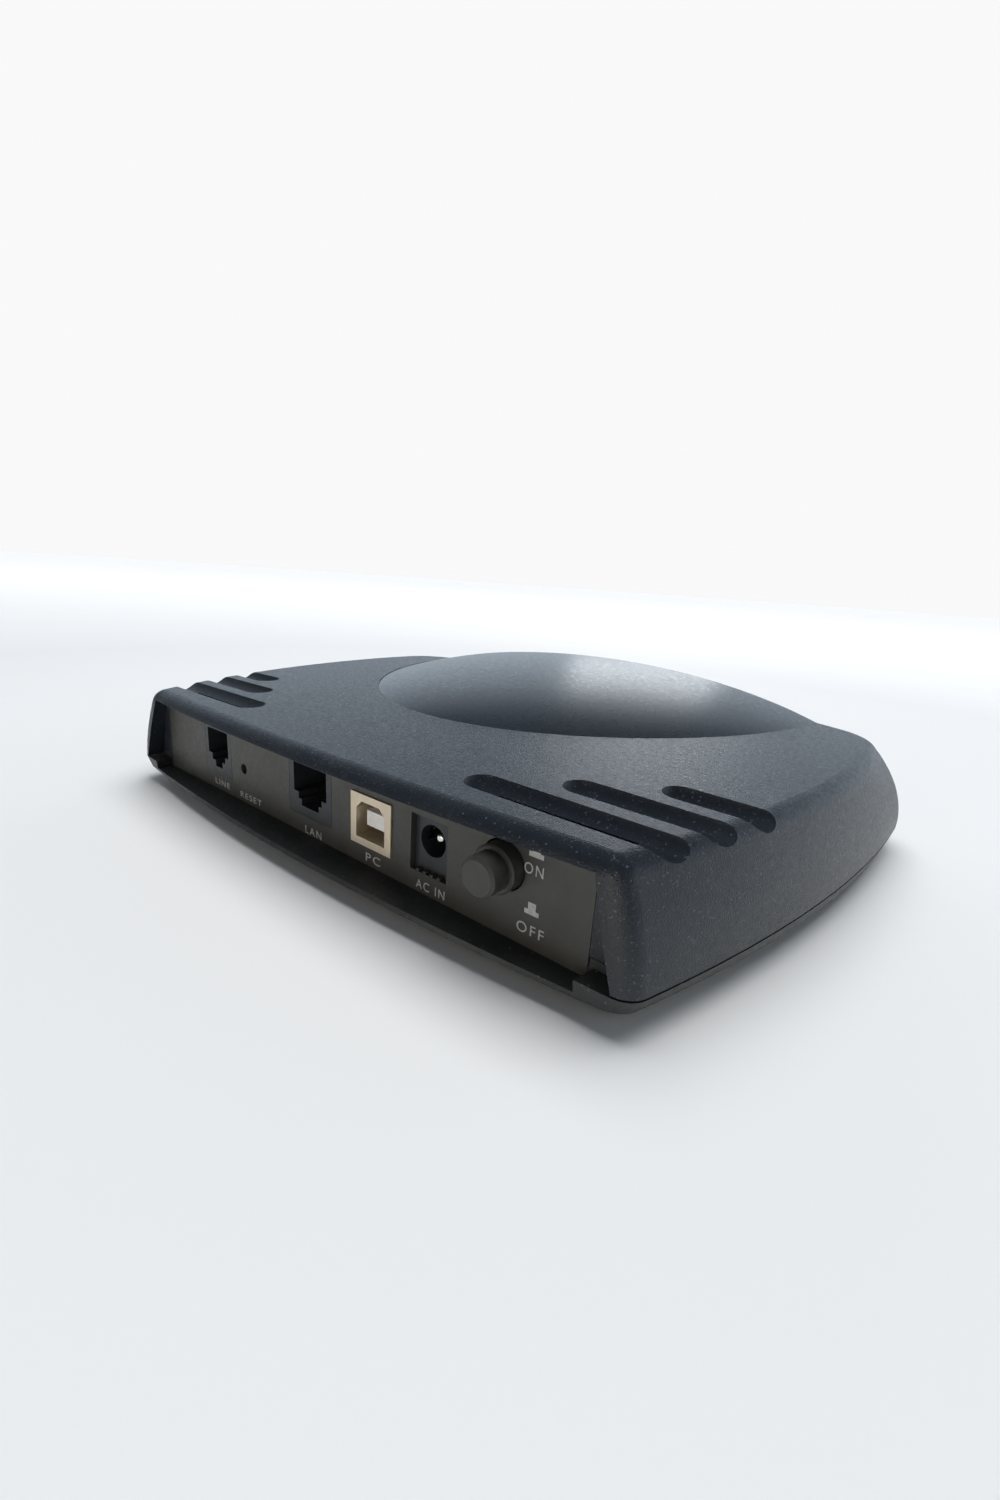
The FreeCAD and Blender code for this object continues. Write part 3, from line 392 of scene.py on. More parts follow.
@dataclass(frozen=True)
class Wound(Finish):
    """Wire laid side by side, each turn a small ridge, with painted shade in the gaps between turns.

    Args:
        wire: the distance from turn to turn.
        across: the axis that the turns are spaced along.
        gap: the colour painted between two turns, standing in for the shade in the crevice there.
    """

    wire: float = 0.5
    across: str = "Y"
    gap: Colour = (0.05, 0.02, 0.01)

    def paint(self, recipe: Recipe) -> None:
        """Colours the turns and paints shade into the gaps between them."""
        turns = recipe.bands(self.wire * MM, self.across)
        varied = recipe.blend(recipe.noise(2 * MM), self.colour, self.accent)
        # Painted shade: the gap colour fills the low part of each band, between the turns.
        recipe.set("Base Color", recipe.blend(recipe.spread(turns, 0.0, 0.35), self.gap, varied))
        recipe.set("Roughness", recipe.spread(recipe.noise(0.8 * MM), 0.3, 0.7, self.gloss))
        recipe.emboss(turns, self.wire * 0.4 * MM)


@dataclass(frozen=True)
class Backdrop(Finish):
    """A pale table that stays evenly lit out to the horizon.

    Args:
        near: how far out the glow starts, in metres.
        far: where it is full, in metres.
        glow: its full strength.
    """

    near: float = 0.35
    far: float = 1.6
    glow: float = 0.9

    def paint(self, recipe: Recipe) -> None:
        """Colours the table and adds a glow that grows with distance, for the camera only."""
        super().paint(recipe)
        seen = recipe.tree.nodes.new("ShaderNodeLightPath").outputs["Is Camera Ray"]
        lift = recipe.spread(recipe.reach(), self.near, self.far, (0.0, self.glow))
        recipe.set("Emission Color", self.colour)
        recipe.set("Emission Strength", recipe.calc("MULTIPLY", seen, lift))


@dataclass(frozen=True)
class Clear(Finish):
    """Plastic that light goes through, with flow marks and a little haze.

    Args:
        through: how much light goes through.
        index: its refractive index.
    """

    through: float = 0.9
    index: float = 1.49

    def paint(self, recipe: Recipe) -> None:
        """Colours the plastic and lets light through."""
        super().paint(recipe)
        recipe.set("Transmission Weight", self.through)
        recipe.set("IOR", self.index)


# COVER's seam=7.0 puts painted shade along the cover's foot, where it meets the base.
COVER = SparklePlastic("cover_texture", (0.011, 0.015, 0.0205), (0.0145, 0.019, 0.025), (0.3, 0.42),
                       grain=0.32, relief=0.07, specular=0.44, flake_colour=(0.115, 0.13, 0.15),
                       scuffs=0.22, seam=7.0)
DOME = Finish("dome_satin", (0.0105, 0.0145, 0.0205), (0.0145, 0.0185, 0.025), (0.26, 0.34), patch=12.0,
              grain=0.3, relief=0.009)
# BASE keeps the seam at 0, so any of its surface lower than 0.4 mm gets the same painted shade.
BASE = SparklePlastic("base_texture", (0.021, 0.0225, 0.0235), (0.027, 0.028, 0.028), (0.4, 0.54),
                      grain=0.4, relief=0.035, flake_share=0.1, scuffs=0.7)
PANEL = Finish("panel_matte", (0.043, 0.0425, 0.038), (0.051, 0.05, 0.0435), (0.4, 0.52), grain=0.25,
               relief=0.012)
BUTTON = Finish("button_matte", (0.034, 0.034, 0.0315), (0.041, 0.0405, 0.037), (0.4, 0.5),
                grain=0.22, relief=0.01)
INK = Finish("legend_ink", (0.45, 0.46, 0.45), (0.36, 0.37, 0.36), (0.5, 0.65), patch=0.9, grain=0.12,
             relief=0.008)
JACK = Finish("socket_plastic", (0.017, 0.019, 0.023), (0.023, 0.025, 0.029), (0.34, 0.46), grain=0.3,
              relief=0.01)
FLANGE = Finish("shell_plating", (0.72, 0.62, 0.46), (0.62, 0.54, 0.41), (0.3, 0.44), metallic=0.75,
                patch=3.0,
                grain=0.5, relief=0.006, lay=Grain.ALONG_Z)
NYLON = Finish("socket_nylon", (0.84, 0.84, 0.81), (0.76, 0.76, 0.73), (0.4, 0.5), patch=2.5, grain=0.3)
GOLD = Finish("contact_gold", (0.83, 0.61, 0.26), (0.7, 0.48, 0.2), (0.2, 0.3), metallic=1.0,
              patch=1.5, grain=0.2)
PIN = Finish("pin_bright", (0.82, 0.8, 0.76), (0.7, 0.68, 0.64), (0.12, 0.22), metallic=1.0,
             patch=1.0, grain=0.3,
             lay=Grain.ALONG_Y)
SPRING = Finish("spring_steel", (0.5, 0.5, 0.5), (0.4, 0.4, 0.4), (0.22, 0.34), metallic=1.0,
                patch=1.0, grain=0.15)
ZINC = Finish("screw_zinc", (0.55, 0.55, 0.53), (0.42, 0.42, 0.4), (0.25, 0.45), metallic=1.0,
              patch=1.2, grain=0.25)
RUBBER = Finish("foot_rubber", (0.014, 0.014, 0.014), (0.022, 0.022, 0.021), (0.7, 0.85), grain=0.35,
                relief=0.03)
FOIL = Finish("label_foil", (0.42, 0.43, 0.44), (0.36, 0.37, 0.38), (0.3, 0.4), metallic=0.8,
              patch=18.0, grain=0.5,
              relief=0.004, lay=Grain.ALONG_X)
LABEL_INK = Finish("label_ink", (0.02, 0.02, 0.021), (0.035, 0.035, 0.035), (0.45, 0.6), patch=1.0,
                   grain=0.2)
LENS = Clear("lens_smoke", (0.035, 0.02, 0.025), (0.05, 0.026, 0.03), (0.05, 0.09), through=0.75)
GUIDE = Clear("guide_acrylic", (0.9, 0.92, 0.9), (0.82, 0.86, 0.84), (0.06, 0.16), through=0.95)
LAMP = Clear("lamp_green", (0.12, 0.5, 0.12), (0.09, 0.4, 0.1), (0.12, 0.2), through=0.5)
BOARD = BoardLaminate("board_laminate", (0.008, 0.085, 0.03), (0.03, 0.14, 0.06), (0.2, 0.34))
SWITCH = Finish("switch_body", (0.02, 0.02, 0.022), (0.027, 0.027, 0.028), (0.36, 0.5), grain=0.3)
PLUNGER = Finish("plunger_nylon", (0.6, 0.6, 0.56), (0.52, 0.52, 0.49), (0.36, 0.48), patch=2.0)
CHIP = Finish("chip_epoxy", (0.015, 0.015, 0.0155), (0.024, 0.024, 0.024), (0.5, 0.64), patch=2.0,
              grain=0.12, relief=0.02)
LEAD = Finish("lead_tin", (0.66, 0.66, 0.64), (0.5, 0.5, 0.48), (0.22, 0.4), metallic=1.0, patch=0.8,
              grain=0.15)
SINK = Finish("sink_aluminium", (0.56, 0.57, 0.58), (0.46, 0.47, 0.48), (0.28, 0.42), metallic=1.0,
              patch=3.0,
              grain=0.2, relief=0.008, lay=Grain.ALONG_Y)
THERMAL = Finish("thermal_grey", (0.3, 0.31, 0.32), (0.24, 0.25, 0.26), (0.7, 0.85), patch=1.5,
                 relief=0.03)
FERRITE = Finish("ferrite", (0.035, 0.033, 0.033), (0.055, 0.052, 0.05), (0.55, 0.72), patch=1.0,
                 grain=0.25, relief=0.04)
COPPER = Wound("wire_copper", (0.62, 0.2, 0.07), (0.5, 0.14, 0.05), (0.2, 0.32), metallic=0.85,
               wire=0.45)
RING_COPPER = Wound("choke_copper", (0.62, 0.2, 0.07), (0.5, 0.14, 0.05), (0.2, 0.32), metallic=0.85,
                    wire=0.5, across="X")
TAPE = Finish("tape_yellow", (0.68, 0.46, 0.06), (0.6, 0.38, 0.05), (0.35, 0.5), patch=2.0,
              lay=Grain.ALONG_X)
SLEEVE = Finish("can_sleeve", (0.02, 0.024, 0.05), (0.03, 0.034, 0.06), (0.25, 0.35), patch=3.0,
                lay=Grain.ALONG_Z)
CERAMIC = Finish("ceramic_blue", (0.06, 0.14, 0.3), (0.05, 0.11, 0.24), (0.3, 0.45), patch=1.2)
TAN = Finish("chip_tan", (0.36, 0.25, 0.14), (0.3, 0.2, 0.11), (0.5, 0.65), patch=0.5, grain=0.12)
FLOOR = Backdrop("studio_floor", (0.86, 0.86, 0.855), (0.845, 0.845, 0.84), (0.65, 0.75),
                 specular=0.2, patch=400.0,
               grain=3.0, relief=0.004)


class Palette:
    """Makes each finish once and puts it on pieces."""

    def __init__(self) -> None:
        """Starts with no material made."""
        self.made: dict[str, bpy.types.Material] = {}

    def coat(self, piece: bpy.types.Object, finish: Finish) -> None:
        """Gives a piece one finish in all its material slots.

        Args:
            piece: the object to coat.
            finish: its finish.
        """
        if finish.name not in self.made:
            self.made[finish.name] = finish.make()
        piece.data.materials.clear()
        piece.data.materials.append(self.made[finish.name])


# ---- mesh work -----------------------------------------------------------------------------------


def place_mesh(name: str, work: bmesh.types.BMesh, body: Body) -> bpy.types.Object:
    """Turns mesh work into a piece that rides on a body.

    Args:
        name: the piece's name.
        work: the mesh, in the part's frame.
        body: the body that it moves with.

    Returns:
        The new piece.
    """
    mesh = bpy.data.meshes.new(name)
    bmesh.ops.recalc_face_normals(work, faces=work.faces)
    work.to_mesh(mesh)
    work.free()
    piece = bpy.data.objects.new(name, mesh)
    bpy.context.scene.collection.objects.link(piece)
    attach(piece, body.value)
    return piece


def add_plate(work: bmesh.types.BMesh, outline: list[Vector], rise: Vector, bevel: float = 0.0) -> None:
    """Adds a flat plate, raised from its outline and softened along its top edge.

    Args:
        work: the mesh to add to.
        outline: its corners in order.
        rise: from the outline's plane to the plate's top.
        bevel: the radius of the softened edge, in metres.
    """
    face = work.faces.new([work.verts.new(corner) for corner in outline])
    raised = bmesh.ops.extrude_face_region(work, geom=[face])["geom"]
    corners = [item for item in raised if isinstance(item, bmesh.types.BMVert)]
    bmesh.ops.translate(work, verts=corners, vec=rise)
    if bevel:
        tops = set(corners)
        edges = [edge for edge in work.edges if edge.verts[0] in tops and edge.verts[1] in tops]
        bmesh.ops.bevel(work, geom=edges, offset=bevel, segments=2, affect="EDGES", profile=0.5)


def add_lathe(work: bmesh.types.BMesh, profile: list[Span], centre: Vector, turn: Matrix,
              steps: int = 32) -> None:
    """Adds a turned shape.

    Args:
        work: the mesh to add to.
        profile: radius and height pairs, in metres.
        centre: where the axis starts.
        turn: turns the Z axis to the shape's own axis.
        steps: how many sides a full turn has.
    """
    rings = []
    for radius, height in profile:
        ring = []
        for step in range(steps):
            angle = math.tau * step / steps
            local = Vector((radius * math.cos(angle), radius * math.sin(angle), height))
            ring.append(work.verts.new(centre + turn @ local))
        rings.append(ring)
    for low, high in zip(rings, rings[1:]):
        for step in range(steps):
            after = (step + 1) % steps
            face = work.faces.new((low[step], low[after], high[after], high[step]))
            face.smooth = True


def rectangle(left: float, right: float, front: float, rear: float, level: float) -> list[Vector]:
    """The corners of a flat rectangle, in order.

    Args:
        left: its least X.
        right: its greatest X.
        front: its least Y.
        rear: its greatest Y.
        level: its Z.

    Returns:
        The four corners.
    """
    return [Vector((left, front, level)), Vector((right, front, level)),
            Vector((right, rear, level)), Vector((left, rear, level))]


def middle(node: str) -> Vector:
    """The middle of a CAD node's box."""
    low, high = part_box(node)
    return (low + high) / 2


# ---- sub-assemblies ------------------------------------------------------------------------------


@dataclass
class SubAssembly:
    """A group of CAD nodes with the pieces that Blender adds to them.

    Args:
        palette: where the finishes come from.
        finishes: the finish of each CAD node.
    """

    palette: Palette
    finishes: dict[str, Finish] = field(default_factory=dict)

    def build(self) -> list[bpy.types.Object]:
        """Makes the added pieces; a group with none returns an empty list."""
        return []

    def dress(self) -> None:
        """Gives every CAD node of the group its finish."""
        for node, finish in self.finishes.items():
            self.palette.coat(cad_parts[node], finish)

    def finish_up(self) -> None:
        """Builds the group, dresses it and reports each piece."""
        self.dress()
        for piece in self.build():
            LOG.info("built %s with %d faces", piece.name, len(piece.data.polygons))
        for node, finish in self.finishes.items():
            LOG.info("dressed %s in %s", node, finish.name)


@dataclass
class Enclosure(SubAssembly):
    """The shell: cover, dome, base, window, feet, screws and the blank plate underneath.

    Args:
        mark_radius: radius of an ejector mark, in metres.
        mark_rise: how far a mark's ring stands out.
        mark_width: half the width of the ring's bead.
        mark_places: where the marks lie, as shares of the base's half width and half length.
        frame_margin: from the plate's edge to its printed frame.
        frame_line: the width of the printed frame's line.
        frame_rows: how many rows the plate is ruled into.
        print_rise: how far the print stands off the plate.
    """

    mark_radius: float = 2.6 * MM
    mark_rise: float = 0.12 * MM
    mark_width: float = 0.15 * MM
    mark_places: tuple[Span, ...] = ((0.28, 0.78), (0.28, -0.7), (0.74, 0.0))
    frame_margin: float = 2.2 * MM
    frame_line: float = 0.35 * MM
    frame_rows: int = 4
    print_rise: float = 0.02 * MM

    def __post_init__(self) -> None:
        """Names the finish of each node of the shell."""
        self.finishes = {
            "top_cover": COVER, "dome_cover": DOME, "base_cover": BASE, "front_lens": LENS,
            "rubber_feet": RUBBER, "case_screws": ZINC, "rating_label": FOIL,
        }

    def build(self) -> list[bpy.types.Object]:
        """Makes the ejector marks and the blank printed frame under the base."""
        return [self.ejector_marks(), self.plate_frame()]

    def ejector_marks(self) -> bpy.types.Object:
        """Makes the shallow rings that the mould's pins leave under the base."""
        work = bmesh.new()
        low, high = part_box("base_cover")
        half = (high - low) / 2
        centre = (high + low) / 2
        section = [(self.mark_radius + self.mark_width * math.cos(angle), self.mark_rise * math.sin(angle))
                   for angle in (math.pi * step / 6 for step in range(7))]
        for across, along in self.mark_places:
            for side in (-1, 1):
                spot = Vector((centre.x + side * across * half.x, centre.y + along * half.y, low.z))
                add_lathe(work, section, spot, Matrix.Diagonal((1, 1, -1)))
        piece = place_mesh("ejector_marks", work, Body.CASE)
        self.palette.coat(piece, BASE)
        return piece

    def plate_frame(self) -> bpy.types.Object:
        """Makes the printed frame and ruled rows of the blank plate."""
        work = bmesh.new()
        low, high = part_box("rating_label")
        left, right = low.x + self.frame_margin, high.x - self.frame_margin
        front, rear = low.y + self.frame_margin, high.y - self.frame_margin
        drop = Vector((0, 0, -self.print_rise))
        bars = [(left, front, right, front), (left, rear, right, rear), (left, front, left, rear),
                (right, front, right, rear)]
        for row in range(1, self.frame_rows):
            level = front + (rear - front) * row / self.frame_rows
            bars.append((left + self.frame_margin, level, right - self.frame_margin, level))
        half = self.frame_line / 2
        for x_start, y_start, x_end, y_end in bars:
            bar = rectangle(x_start - half, x_end + half, y_start - half, y_end + half, low.z)
            add_plate(work, bar, drop)
        piece = place_mesh("plate_frame", work, Body.CASE)
        self.palette.coat(piece, LABEL_INK)
        return piece


@dataclass(frozen=True)
class Legend:
    """A printed word beside a control or under a socket.

    Args:
        word: what it says.
        anchor: the CAD node that it belongs to.
        across: from the node's middle to the word's middle, towards +X.
        level: the height of the word's middle above the table.
        width: the word's width.
        height: the height of its letters.
    """

    word: str
    anchor: str
    across: float
    level: float
    width: float
    height: float = 1.8 * MM


@dataclass
class RearPanel(SubAssembly):
    """The insert that frames the sockets, with its printed words and switch symbols.

    Args:
        ink: how far the print stands off the panel, in metres.
        ink_edge: the radius of the print's edges.
        symbol_width: the width of a switch symbol.
        symbol_block: the height of a symbol's block.
        symbol_across: from the button's middle to the symbols' middle, towards +X.
    """

    ink: float = 0.03 * MM
    ink_edge: float = 0.01 * MM
    symbol_width: float = 2.8 * MM
    symbol_block: float = 0.85 * MM
    symbol_across: float = -6.4 * MM

    def __post_init__(self) -> None:
        """Names the finish of the panel."""
        self.finishes = {"rear_panel": PANEL}

    def legends(self) -> list[Legend]:
        """The words on the panel."""
        return [
            Legend("LINE", "line_jack_housing", -1.2 * MM, 6.9 * MM, 7.2 * MM, 1.5 * MM),
            Legend("RESET", "reset_plunger", -2.6 * MM, 6.6 * MM, 9.6 * MM, 1.5 * MM),
            Legend("LAN", "lan_jack_housing", -1.0 * MM, 5.95 * MM, 5.9 * MM),
            Legend("PC", "data_port_shell", -0.5 * MM, 6.65 * MM, 4.4 * MM),
            Legend("AC IN", "power_jack_housing", -0.75 * MM, 6.5 * MM, 7.4 * MM),
            Legend("ON", "button_cap", -6.15 * MM, 18.85 * MM, 3.7 * MM, 1.9 * MM),
            Legend("OFF", "button_cap", -6.4 * MM, 8.1 * MM, 5.4 * MM, 1.9 * MM),
        ]

    def build(self) -> list[bpy.types.Object]:
        """Makes every word and both switch symbols."""
        pieces = [self.word_piece(legend) for legend in self.legends()]
        pieces.append(self.symbol("switch_symbol_on", SwitchState.PRESSED, 21.0 * MM))
        pieces.append(self.symbol("switch_symbol_off", SwitchState.OUT, 10.9 * MM))
        for piece in pieces:
            self.palette.coat(piece, INK)
        return pieces

    def word_piece(self, legend: Legend) -> bpy.types.Object:
        """Makes one printed word as a thin raised mesh.

        Args:
            legend: what it says and where it stands.

        Returns:
            The word's piece.
        """
        pattern = bpy.data.curves.new("pattern", "FONT")
        pattern.body = legend.word
        pattern.extrude = 0.01
        pattern.space_character = 1.25
        holder = bpy.data.objects.new("pattern", pattern)
        bpy.context.scene.collection.objects.link(holder)
        seen = holder.evaluated_get(bpy.context.evaluated_depsgraph_get())
        flat = bpy.data.meshes.new_from_object(seen)
        work = bmesh.new()
        work.from_mesh(flat)
        bpy.data.objects.remove(holder)
        bpy.data.curves.remove(pattern)
        bpy.data.meshes.remove(flat)
        low = Vector([min(vert.co[axis] for vert in work.verts) for axis in range(3)])
        high = Vector([max(vert.co[axis] for vert in work.verts) for axis in range(3)])
        span = high - low
        face_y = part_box("rear_panel")[1].y
        centre_x = middle(legend.anchor).x + legend.across
        for vert in work.verts:
            share = Vector([(vert.co[axis] - low[axis]) / span[axis] for axis in range(3)])
            vert.co = Vector((centre_x - (share.x - 0.5) * legend.width, face_y + share.z * self.ink,
                              legend.level + (share.y - 0.5) * legend.height))
        name = "legend_" + legend.word.lower().replace(" ", "_")
        return place_mesh(name, work, Body.CASE)

    def symbol(self, name: str, state: SwitchState, level: float) -> bpy.types.Object:
        """Makes a push-switch symbol: a wide block with a narrower key on it.

        Args:
            name: the piece's name.
            state: whether the key is in or out.
            level: the height of the block's lower edge.

        Returns:
            The symbol's piece.
        """
        work = bmesh.new()
        face_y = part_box("rear_panel")[1].y
        centre_x = middle("button_cap").x + self.symbol_across
        half, key = self.symbol_width / 2, self.symbol_width * 0.27
        block = self.symbol_block
        top = block + state.value * MM
        right = [(half, 0), (half, block), (key, block), (key, top)]
        left = [(-across, up) for across, up in reversed(right)]
        steps = left[-1:] + right + left[:-1]
        corners = [Vector((centre_x + across, face_y, level + up)) for across, up in steps]
        add_plate(work, corners, Vector((0, self.ink, 0)), self.ink_edge)
        return place_mesh(name, work, Body.CASE)


@dataclass
class PowerInlet(SubAssembly):
    """The round power socket in its square cut-out, and the small ribs along the cut-out's lower edge.

    Args:
        rib_count: how many ribs there are.
        rib_width: the width of a rib, in metres.
        rib_rise: how far a rib stands up.
        rib_depth: how deep a rib is, from the panel's face inwards.
        rib_edge: the radius of a rib's edges.
    """

    rib_count: int = 4
    rib_width: float = 0.8 * MM
    rib_rise: float = 0.45 * MM
    rib_depth: float = 1.0 * MM
    rib_edge: float = 0.1 * MM

    def __post_init__(self) -> None:
        """Names the finish of each node of the inlet."""
        self.finishes = {"power_jack_housing": JACK, "power_jack_pin": PIN, "power_jack_spring": SPRING}

    def build(self) -> list[bpy.types.Object]:
        """Makes the ribs along the lower edge of the cut-out."""
        work = bmesh.new()
        low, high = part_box("power_jack_housing")
        face_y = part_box("rear_panel")[1].y
        pitch = (high.x - low.x) / (self.rib_count + 1)
        for count in range(self.rib_count):
            centre = low.x + pitch * (count + 1)
            half = self.rib_width / 2
            foot = rectangle(centre - half, centre + half, face_y - self.rib_depth, face_y, low.z)
            add_plate(work, foot, Vector((0, 0, self.rib_rise)), self.rib_edge)
        piece = place_mesh("inlet_ribs", work, Body.CASE)
        self.palette.coat(piece, PANEL)
        return [piece]


@dataclass
class Sockets(SubAssembly):
    """The line, network and data sockets."""

    def __post_init__(self) -> None:
        """Names the finish of each node of the sockets."""
        self.finishes = {
            "line_jack_housing": JACK, "lan_jack_housing": JACK, "line_jack_contacts": GOLD,
            "lan_jack_contacts": GOLD, "data_port_shell": FLANGE, "data_port_insulator": NYLON,
            "data_port_contacts": GOLD,
        }


@dataclass
class Controls(SubAssembly):
    """The power button with its switch, and the reset switch."""

    def __post_init__(self) -> None:
        """Names the finish of each node of the switches."""
        self.finishes = {
            "button_cap": BUTTON, "power_switch_body": SWITCH, "power_switch_plunger": PLUNGER,
            "power_switch_spring": SPRING, "power_switch_pins": LEAD, "reset_switch_body": SWITCH,
            "reset_switch_cover": SPRING, "reset_plunger": SWITCH,
        }


@dataclass
class Board(SubAssembly):
    """The circuit board and everything soldered to it.

    Args:
        joint_radius: the radius of a solder joint, in metres.
        joint_rise: its height.
        columns: where the joints stand across a part, as shares of its width.
        rows: where they stand along it, as shares of its length.
    """

    joint_radius: float = 0.85 * MM
    joint_rise: float = 0.7 * MM
    columns: tuple[float, ...] = (0.2, 0.4, 0.6, 0.8)
    rows: tuple[float, ...] = (0.2, 0.55)

    def __post_init__(self) -> None:
        """Names the finish of each node on the board."""
        self.finishes = {
            "circuit_board": BOARD, "board_screws": ZINC, "main_chip": CHIP, "memory_chip": CHIP,
            "flash_chip": CHIP, "line_driver_chip": CHIP, "main_chip_leads": LEAD, "memory_chip_leads": LEAD,
            "flash_chip_leads": LEAD, "line_driver_chip_leads": LEAD, "heat_sink": SINK,
            "thermal_pad": THERMAL,
            "transformer_core": FERRITE, "transformer_winding": COPPER, "transformer_bobbin": TAPE,
            "transformer_base": SWITCH, "choke_core": FERRITE, "choke_winding": RING_COPPER,
            "capacitor_cans": SLEEVE, "crystal_can": ZINC, "voltage_regulator": CHIP, "regulator_tab": LEAD,
            "lan_transformer": CHIP, "surge_tube": CERAMIC, "status_leds": LAMP, "light_guides": GUIDE,
            "chip_resistors": CHIP, "chip_capacitors": TAN,
        }

    def build(self) -> list[bpy.types.Object]:
        """Makes the solder joints under the sockets and the transformers."""
        work = bmesh.new()
        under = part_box("circuit_board")[0].z
        profile = [(self.joint_radius, 0.0), (self.joint_radius * 0.55, self.joint_rise * 0.35),
                   (self.joint_radius * 0.3, self.joint_rise), (0.0001 * MM, self.joint_rise * 1.1)]
        for node in ("line_jack_housing", "lan_jack_housing", "data_port_shell", "power_jack_housing",
                     "transformer_base", "lan_transformer"):
            low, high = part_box(node)
            span = high - low
            for across in self.columns:
                for along in self.rows:
                    spot = Vector((low.x + span.x * across, low.y + span.y * along, under))
                    add_lathe(work, profile, spot, Matrix.Diagonal((1, 1, -1)), 12)
        piece = place_mesh("solder_joints", work, Body.CASE)
        self.palette.coat(piece, LEAD)
        return [piece]


# ---- studio --------------------------------------------------------------------------------------


@dataclass(frozen=True)
class Softbox:
    """A soft lamp that looks at the object.

    Args:
        name: the lamp's name.
        heading: the direction it stands in, degrees from +Y towards +X.
        height: its angle above the table, in degrees.
        distance: how far it stands, in metres.
        size: its width and height in metres.
        power: its power in watts.
        colour: the colour of its light.
        mirrored: whether glossy surfaces show it.
    """

    name: str
    heading: float
    height: float
    distance: float
    size: Span
    power: float
    colour: Colour = (1.0, 1.0, 1.0)
    mirrored: bool = True

    def light(self, target: Vector) -> None:
        """Hangs the lamp and turns it to the target."""
        lamp = bpy.data.lights.new(self.name, "AREA")
        lamp.shape = "RECTANGLE"
        lamp.size, lamp.size_y = self.size
        lamp.energy = self.power
        lamp.color = self.colour
        holder = bpy.data.objects.new(self.name, lamp)
        bpy.context.scene.collection.objects.link(holder)
        around, up = math.radians(self.heading), math.radians(self.height)
        away = Vector((math.sin(around) * math.cos(up), math.cos(around) * math.cos(up), math.sin(up)))
        holder.location = target + away * self.distance
        holder.rotation_mode = "QUATERNION"
        holder.rotation_quaternion = away.to_track_quat("Z", "Y")
        holder.visible_camera = False
        holder.visible_glossy = self.mirrored


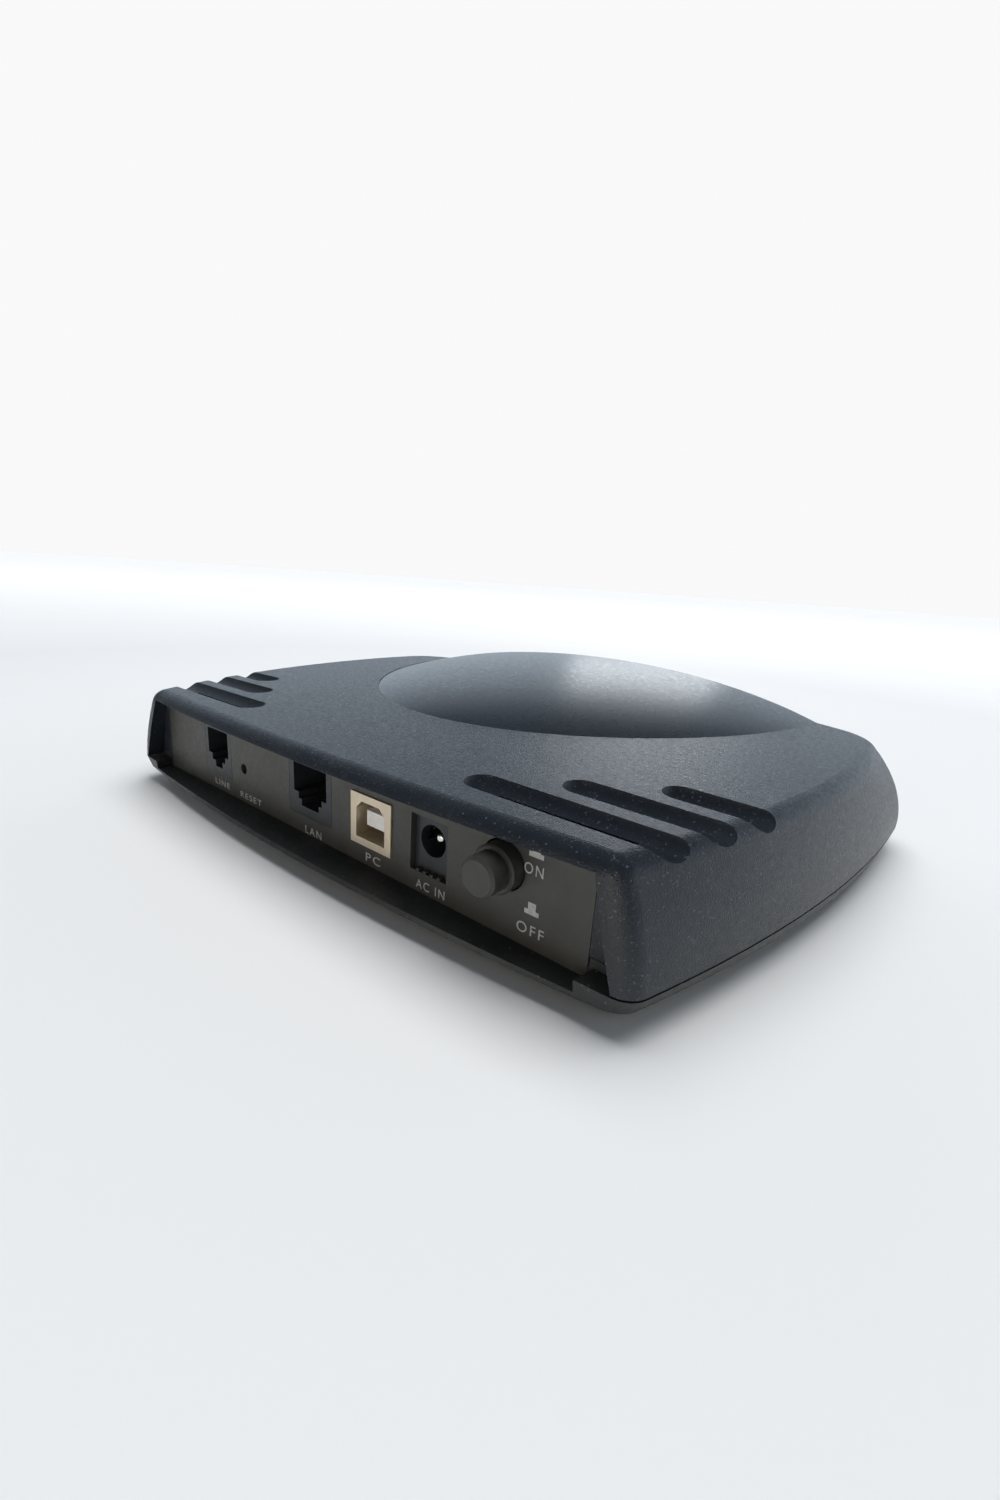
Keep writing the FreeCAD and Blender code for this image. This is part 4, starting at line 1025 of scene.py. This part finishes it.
@dataclass
class Studio:
    """A pale floor, soft light and the camera.

    Args:
        palette: where the floor's finish comes from.
        floor_radius: the floor's radius, in metres.
        eye: the camera's place.
        heading: where it looks, degrees from +Y towards +X.
        tilt: how far it looks down, in degrees.
        roll: its turn about its own axis, in degrees.
        lens: its focal length in millimetres on a sensor 36 wide.
        room: the light of the room behind and over the camera.
        wall: the light of the wall that the camera faces.
        backing: what the camera sees past the table.
    """

    palette: Palette
    floor_radius: float = 9.0
    eye: Vector = field(default_factory=lambda: Vector((-0.1039, 0.1361, 0.0624)))
    heading: float = 142.46
    tilt: float = 15.98
    roll: float = 3.92
    lens: float = 14.3
    room: Colour = (0.07, 0.085, 0.105)
    wall: Colour = (0.92, 1.06, 1.2)
    backing: Colour = (0.95, 0.95, 0.95)

    def build(self) -> None:
        """Builds the floor, the lamps, the surroundings and the camera."""
        self.floor()
        self.surroundings()
        centre = (CAD_BOX[0] + CAD_BOX[1]) / 2
        for lamp in self.lamps():
            lamp.light(centre)
            LOG.info("hung %s", lamp.name)
        self.camera()

    def lamps(self) -> list[Softbox]:
        """The lamps: a broad one overhead, one low beyond the nose and a warm one before the panel."""
        return [
            Softbox("overhead", 170.0, 78.0, 1.3, (1.4, 1.0), 19.0, (0.98, 0.99, 1.0), mirrored=False),
            Softbox("far_window", 158.0, 16.0, 1.3, (0.4, 0.28), 0.85, (0.95, 0.98, 1.0)),
            Softbox("panel_fill", 350.0, 8.0, 1.4, (1.2, 0.5), 5.4, (1.0, 0.92, 0.82)),
        ]

    def floor(self) -> None:
        """Lays the floor under the object."""
        work = bmesh.new()
        level = CAD_BOX[0].z - 0.02 * MM
        centre = Vector((0, 0, level))
        radii = (0.0001, 0.15, 0.4, 1.0, 3.0, self.floor_radius)
        add_lathe(work, [(radius, 0.0) for radius in radii], centre, Matrix.Identity(3), 64)
        mesh = bpy.data.meshes.new("studio_floor")
        work.to_mesh(mesh)
        work.free()
        floor = bpy.data.objects.new("studio_floor", mesh)
        bpy.context.scene.collection.objects.link(floor)
        self.palette.coat(floor, FLOOR)

    def surroundings(self) -> None:
        """Sets the pale wall behind the object and the dim room round the rest of it."""
        world = bpy.data.worlds.new("studio_room")
        world.use_nodes = True
        bpy.context.scene.world = world
        tree = world.node_tree
        ground = tree.nodes["Background"]
        place = tree.nodes.new("ShaderNodeTexCoord").outputs["Generated"]
        split = tree.nodes.new("ShaderNodeSeparateXYZ")
        tree.links.new(place, split.inputs[0])
        wall = self.ramp(tree, split.outputs["Y"], 0.35, -0.35, (0.0, 1.0))
        ceiling = self.ramp(tree, split.outputs["Z"], 0.3, 0.58, (1.0, 0.0))
        both = tree.nodes.new("ShaderNodeMath")
        both.operation = "MULTIPLY"
        tree.links.new(wall, both.inputs[0])
        tree.links.new(ceiling, both.inputs[1])
        shade = tree.nodes.new("ShaderNodeMix")
        shade.data_type = "RGBA"
        tree.links.new(both.outputs[0], shade.inputs[0])
        shade.inputs[6].default_value = (*self.room, 1.0)
        shade.inputs[7].default_value = (*self.wall, 1.0)
        tree.links.new(shade.outputs[2], ground.inputs["Color"])
        pale = tree.nodes.new("ShaderNodeBackground")
        pale.inputs["Color"].default_value = (*self.backing, 1.0)
        path = tree.nodes.new("ShaderNodeLightPath")
        choose = tree.nodes.new("ShaderNodeMixShader")
        tree.links.new(path.outputs["Is Camera Ray"], choose.inputs[0])
        tree.links.new(ground.outputs[0], choose.inputs[1])
        tree.links.new(pale.outputs[0], choose.inputs[2])
        tree.links.new(choose.outputs[0], tree.nodes["World Output"].inputs["Surface"])

    @staticmethod
    def ramp(tree: bpy.types.NodeTree, value: Socket, low: float, high: float, to: Span) -> Socket:
        """Maps a value from low..high onto a span with a smooth start and end."""
        node = tree.nodes.new("ShaderNodeMapRange")
        node.interpolation_type = "SMOOTHSTEP"
        tree.links.new(value, node.inputs["Value"])
        for name, amount in zip(("From Min", "From Max", "To Min", "To Max"), (low, high, *to)):
            node.inputs[name].default_value = amount
        return node.outputs["Result"]

    def camera(self) -> None:
        """Sets up the camera."""
        eye = bpy.data.cameras.new("eye")
        eye.lens = self.lens
        eye.clip_start, eye.clip_end = 0.005, 60.0
        holder = bpy.data.objects.new("eye", eye)
        bpy.context.scene.collection.objects.link(holder)
        around, down = math.radians(self.heading), math.radians(self.tilt)
        level = math.cos(down)
        ahead = Vector((math.sin(around) * level, math.cos(around) * level, -math.sin(down)))
        lean = Matrix.Rotation(math.radians(self.roll), 3, "Z").to_quaternion()
        turn = ahead.to_track_quat("-Z", "Y") @ lean
        holder.matrix_world = Matrix.Translation(self.eye) @ turn.to_matrix().to_4x4()
        bpy.context.scene.camera = holder


def main() -> None:
    """Builds each sub-assembly in order, then the studio."""
    logging.basicConfig(level=logging.INFO, format="%(name)s: %(message)s")
    bpy.context.scene.view_settings.view_transform = "Standard"
    palette = Palette()
    groups: list[Callable[[Palette], SubAssembly]] = [
        Enclosure, RearPanel, PowerInlet, Sockets, Controls, Board,
    ]
    for group in groups:
        group(palette).finish_up()
    Studio(palette).build()


if __name__ == "__main__":
    main()
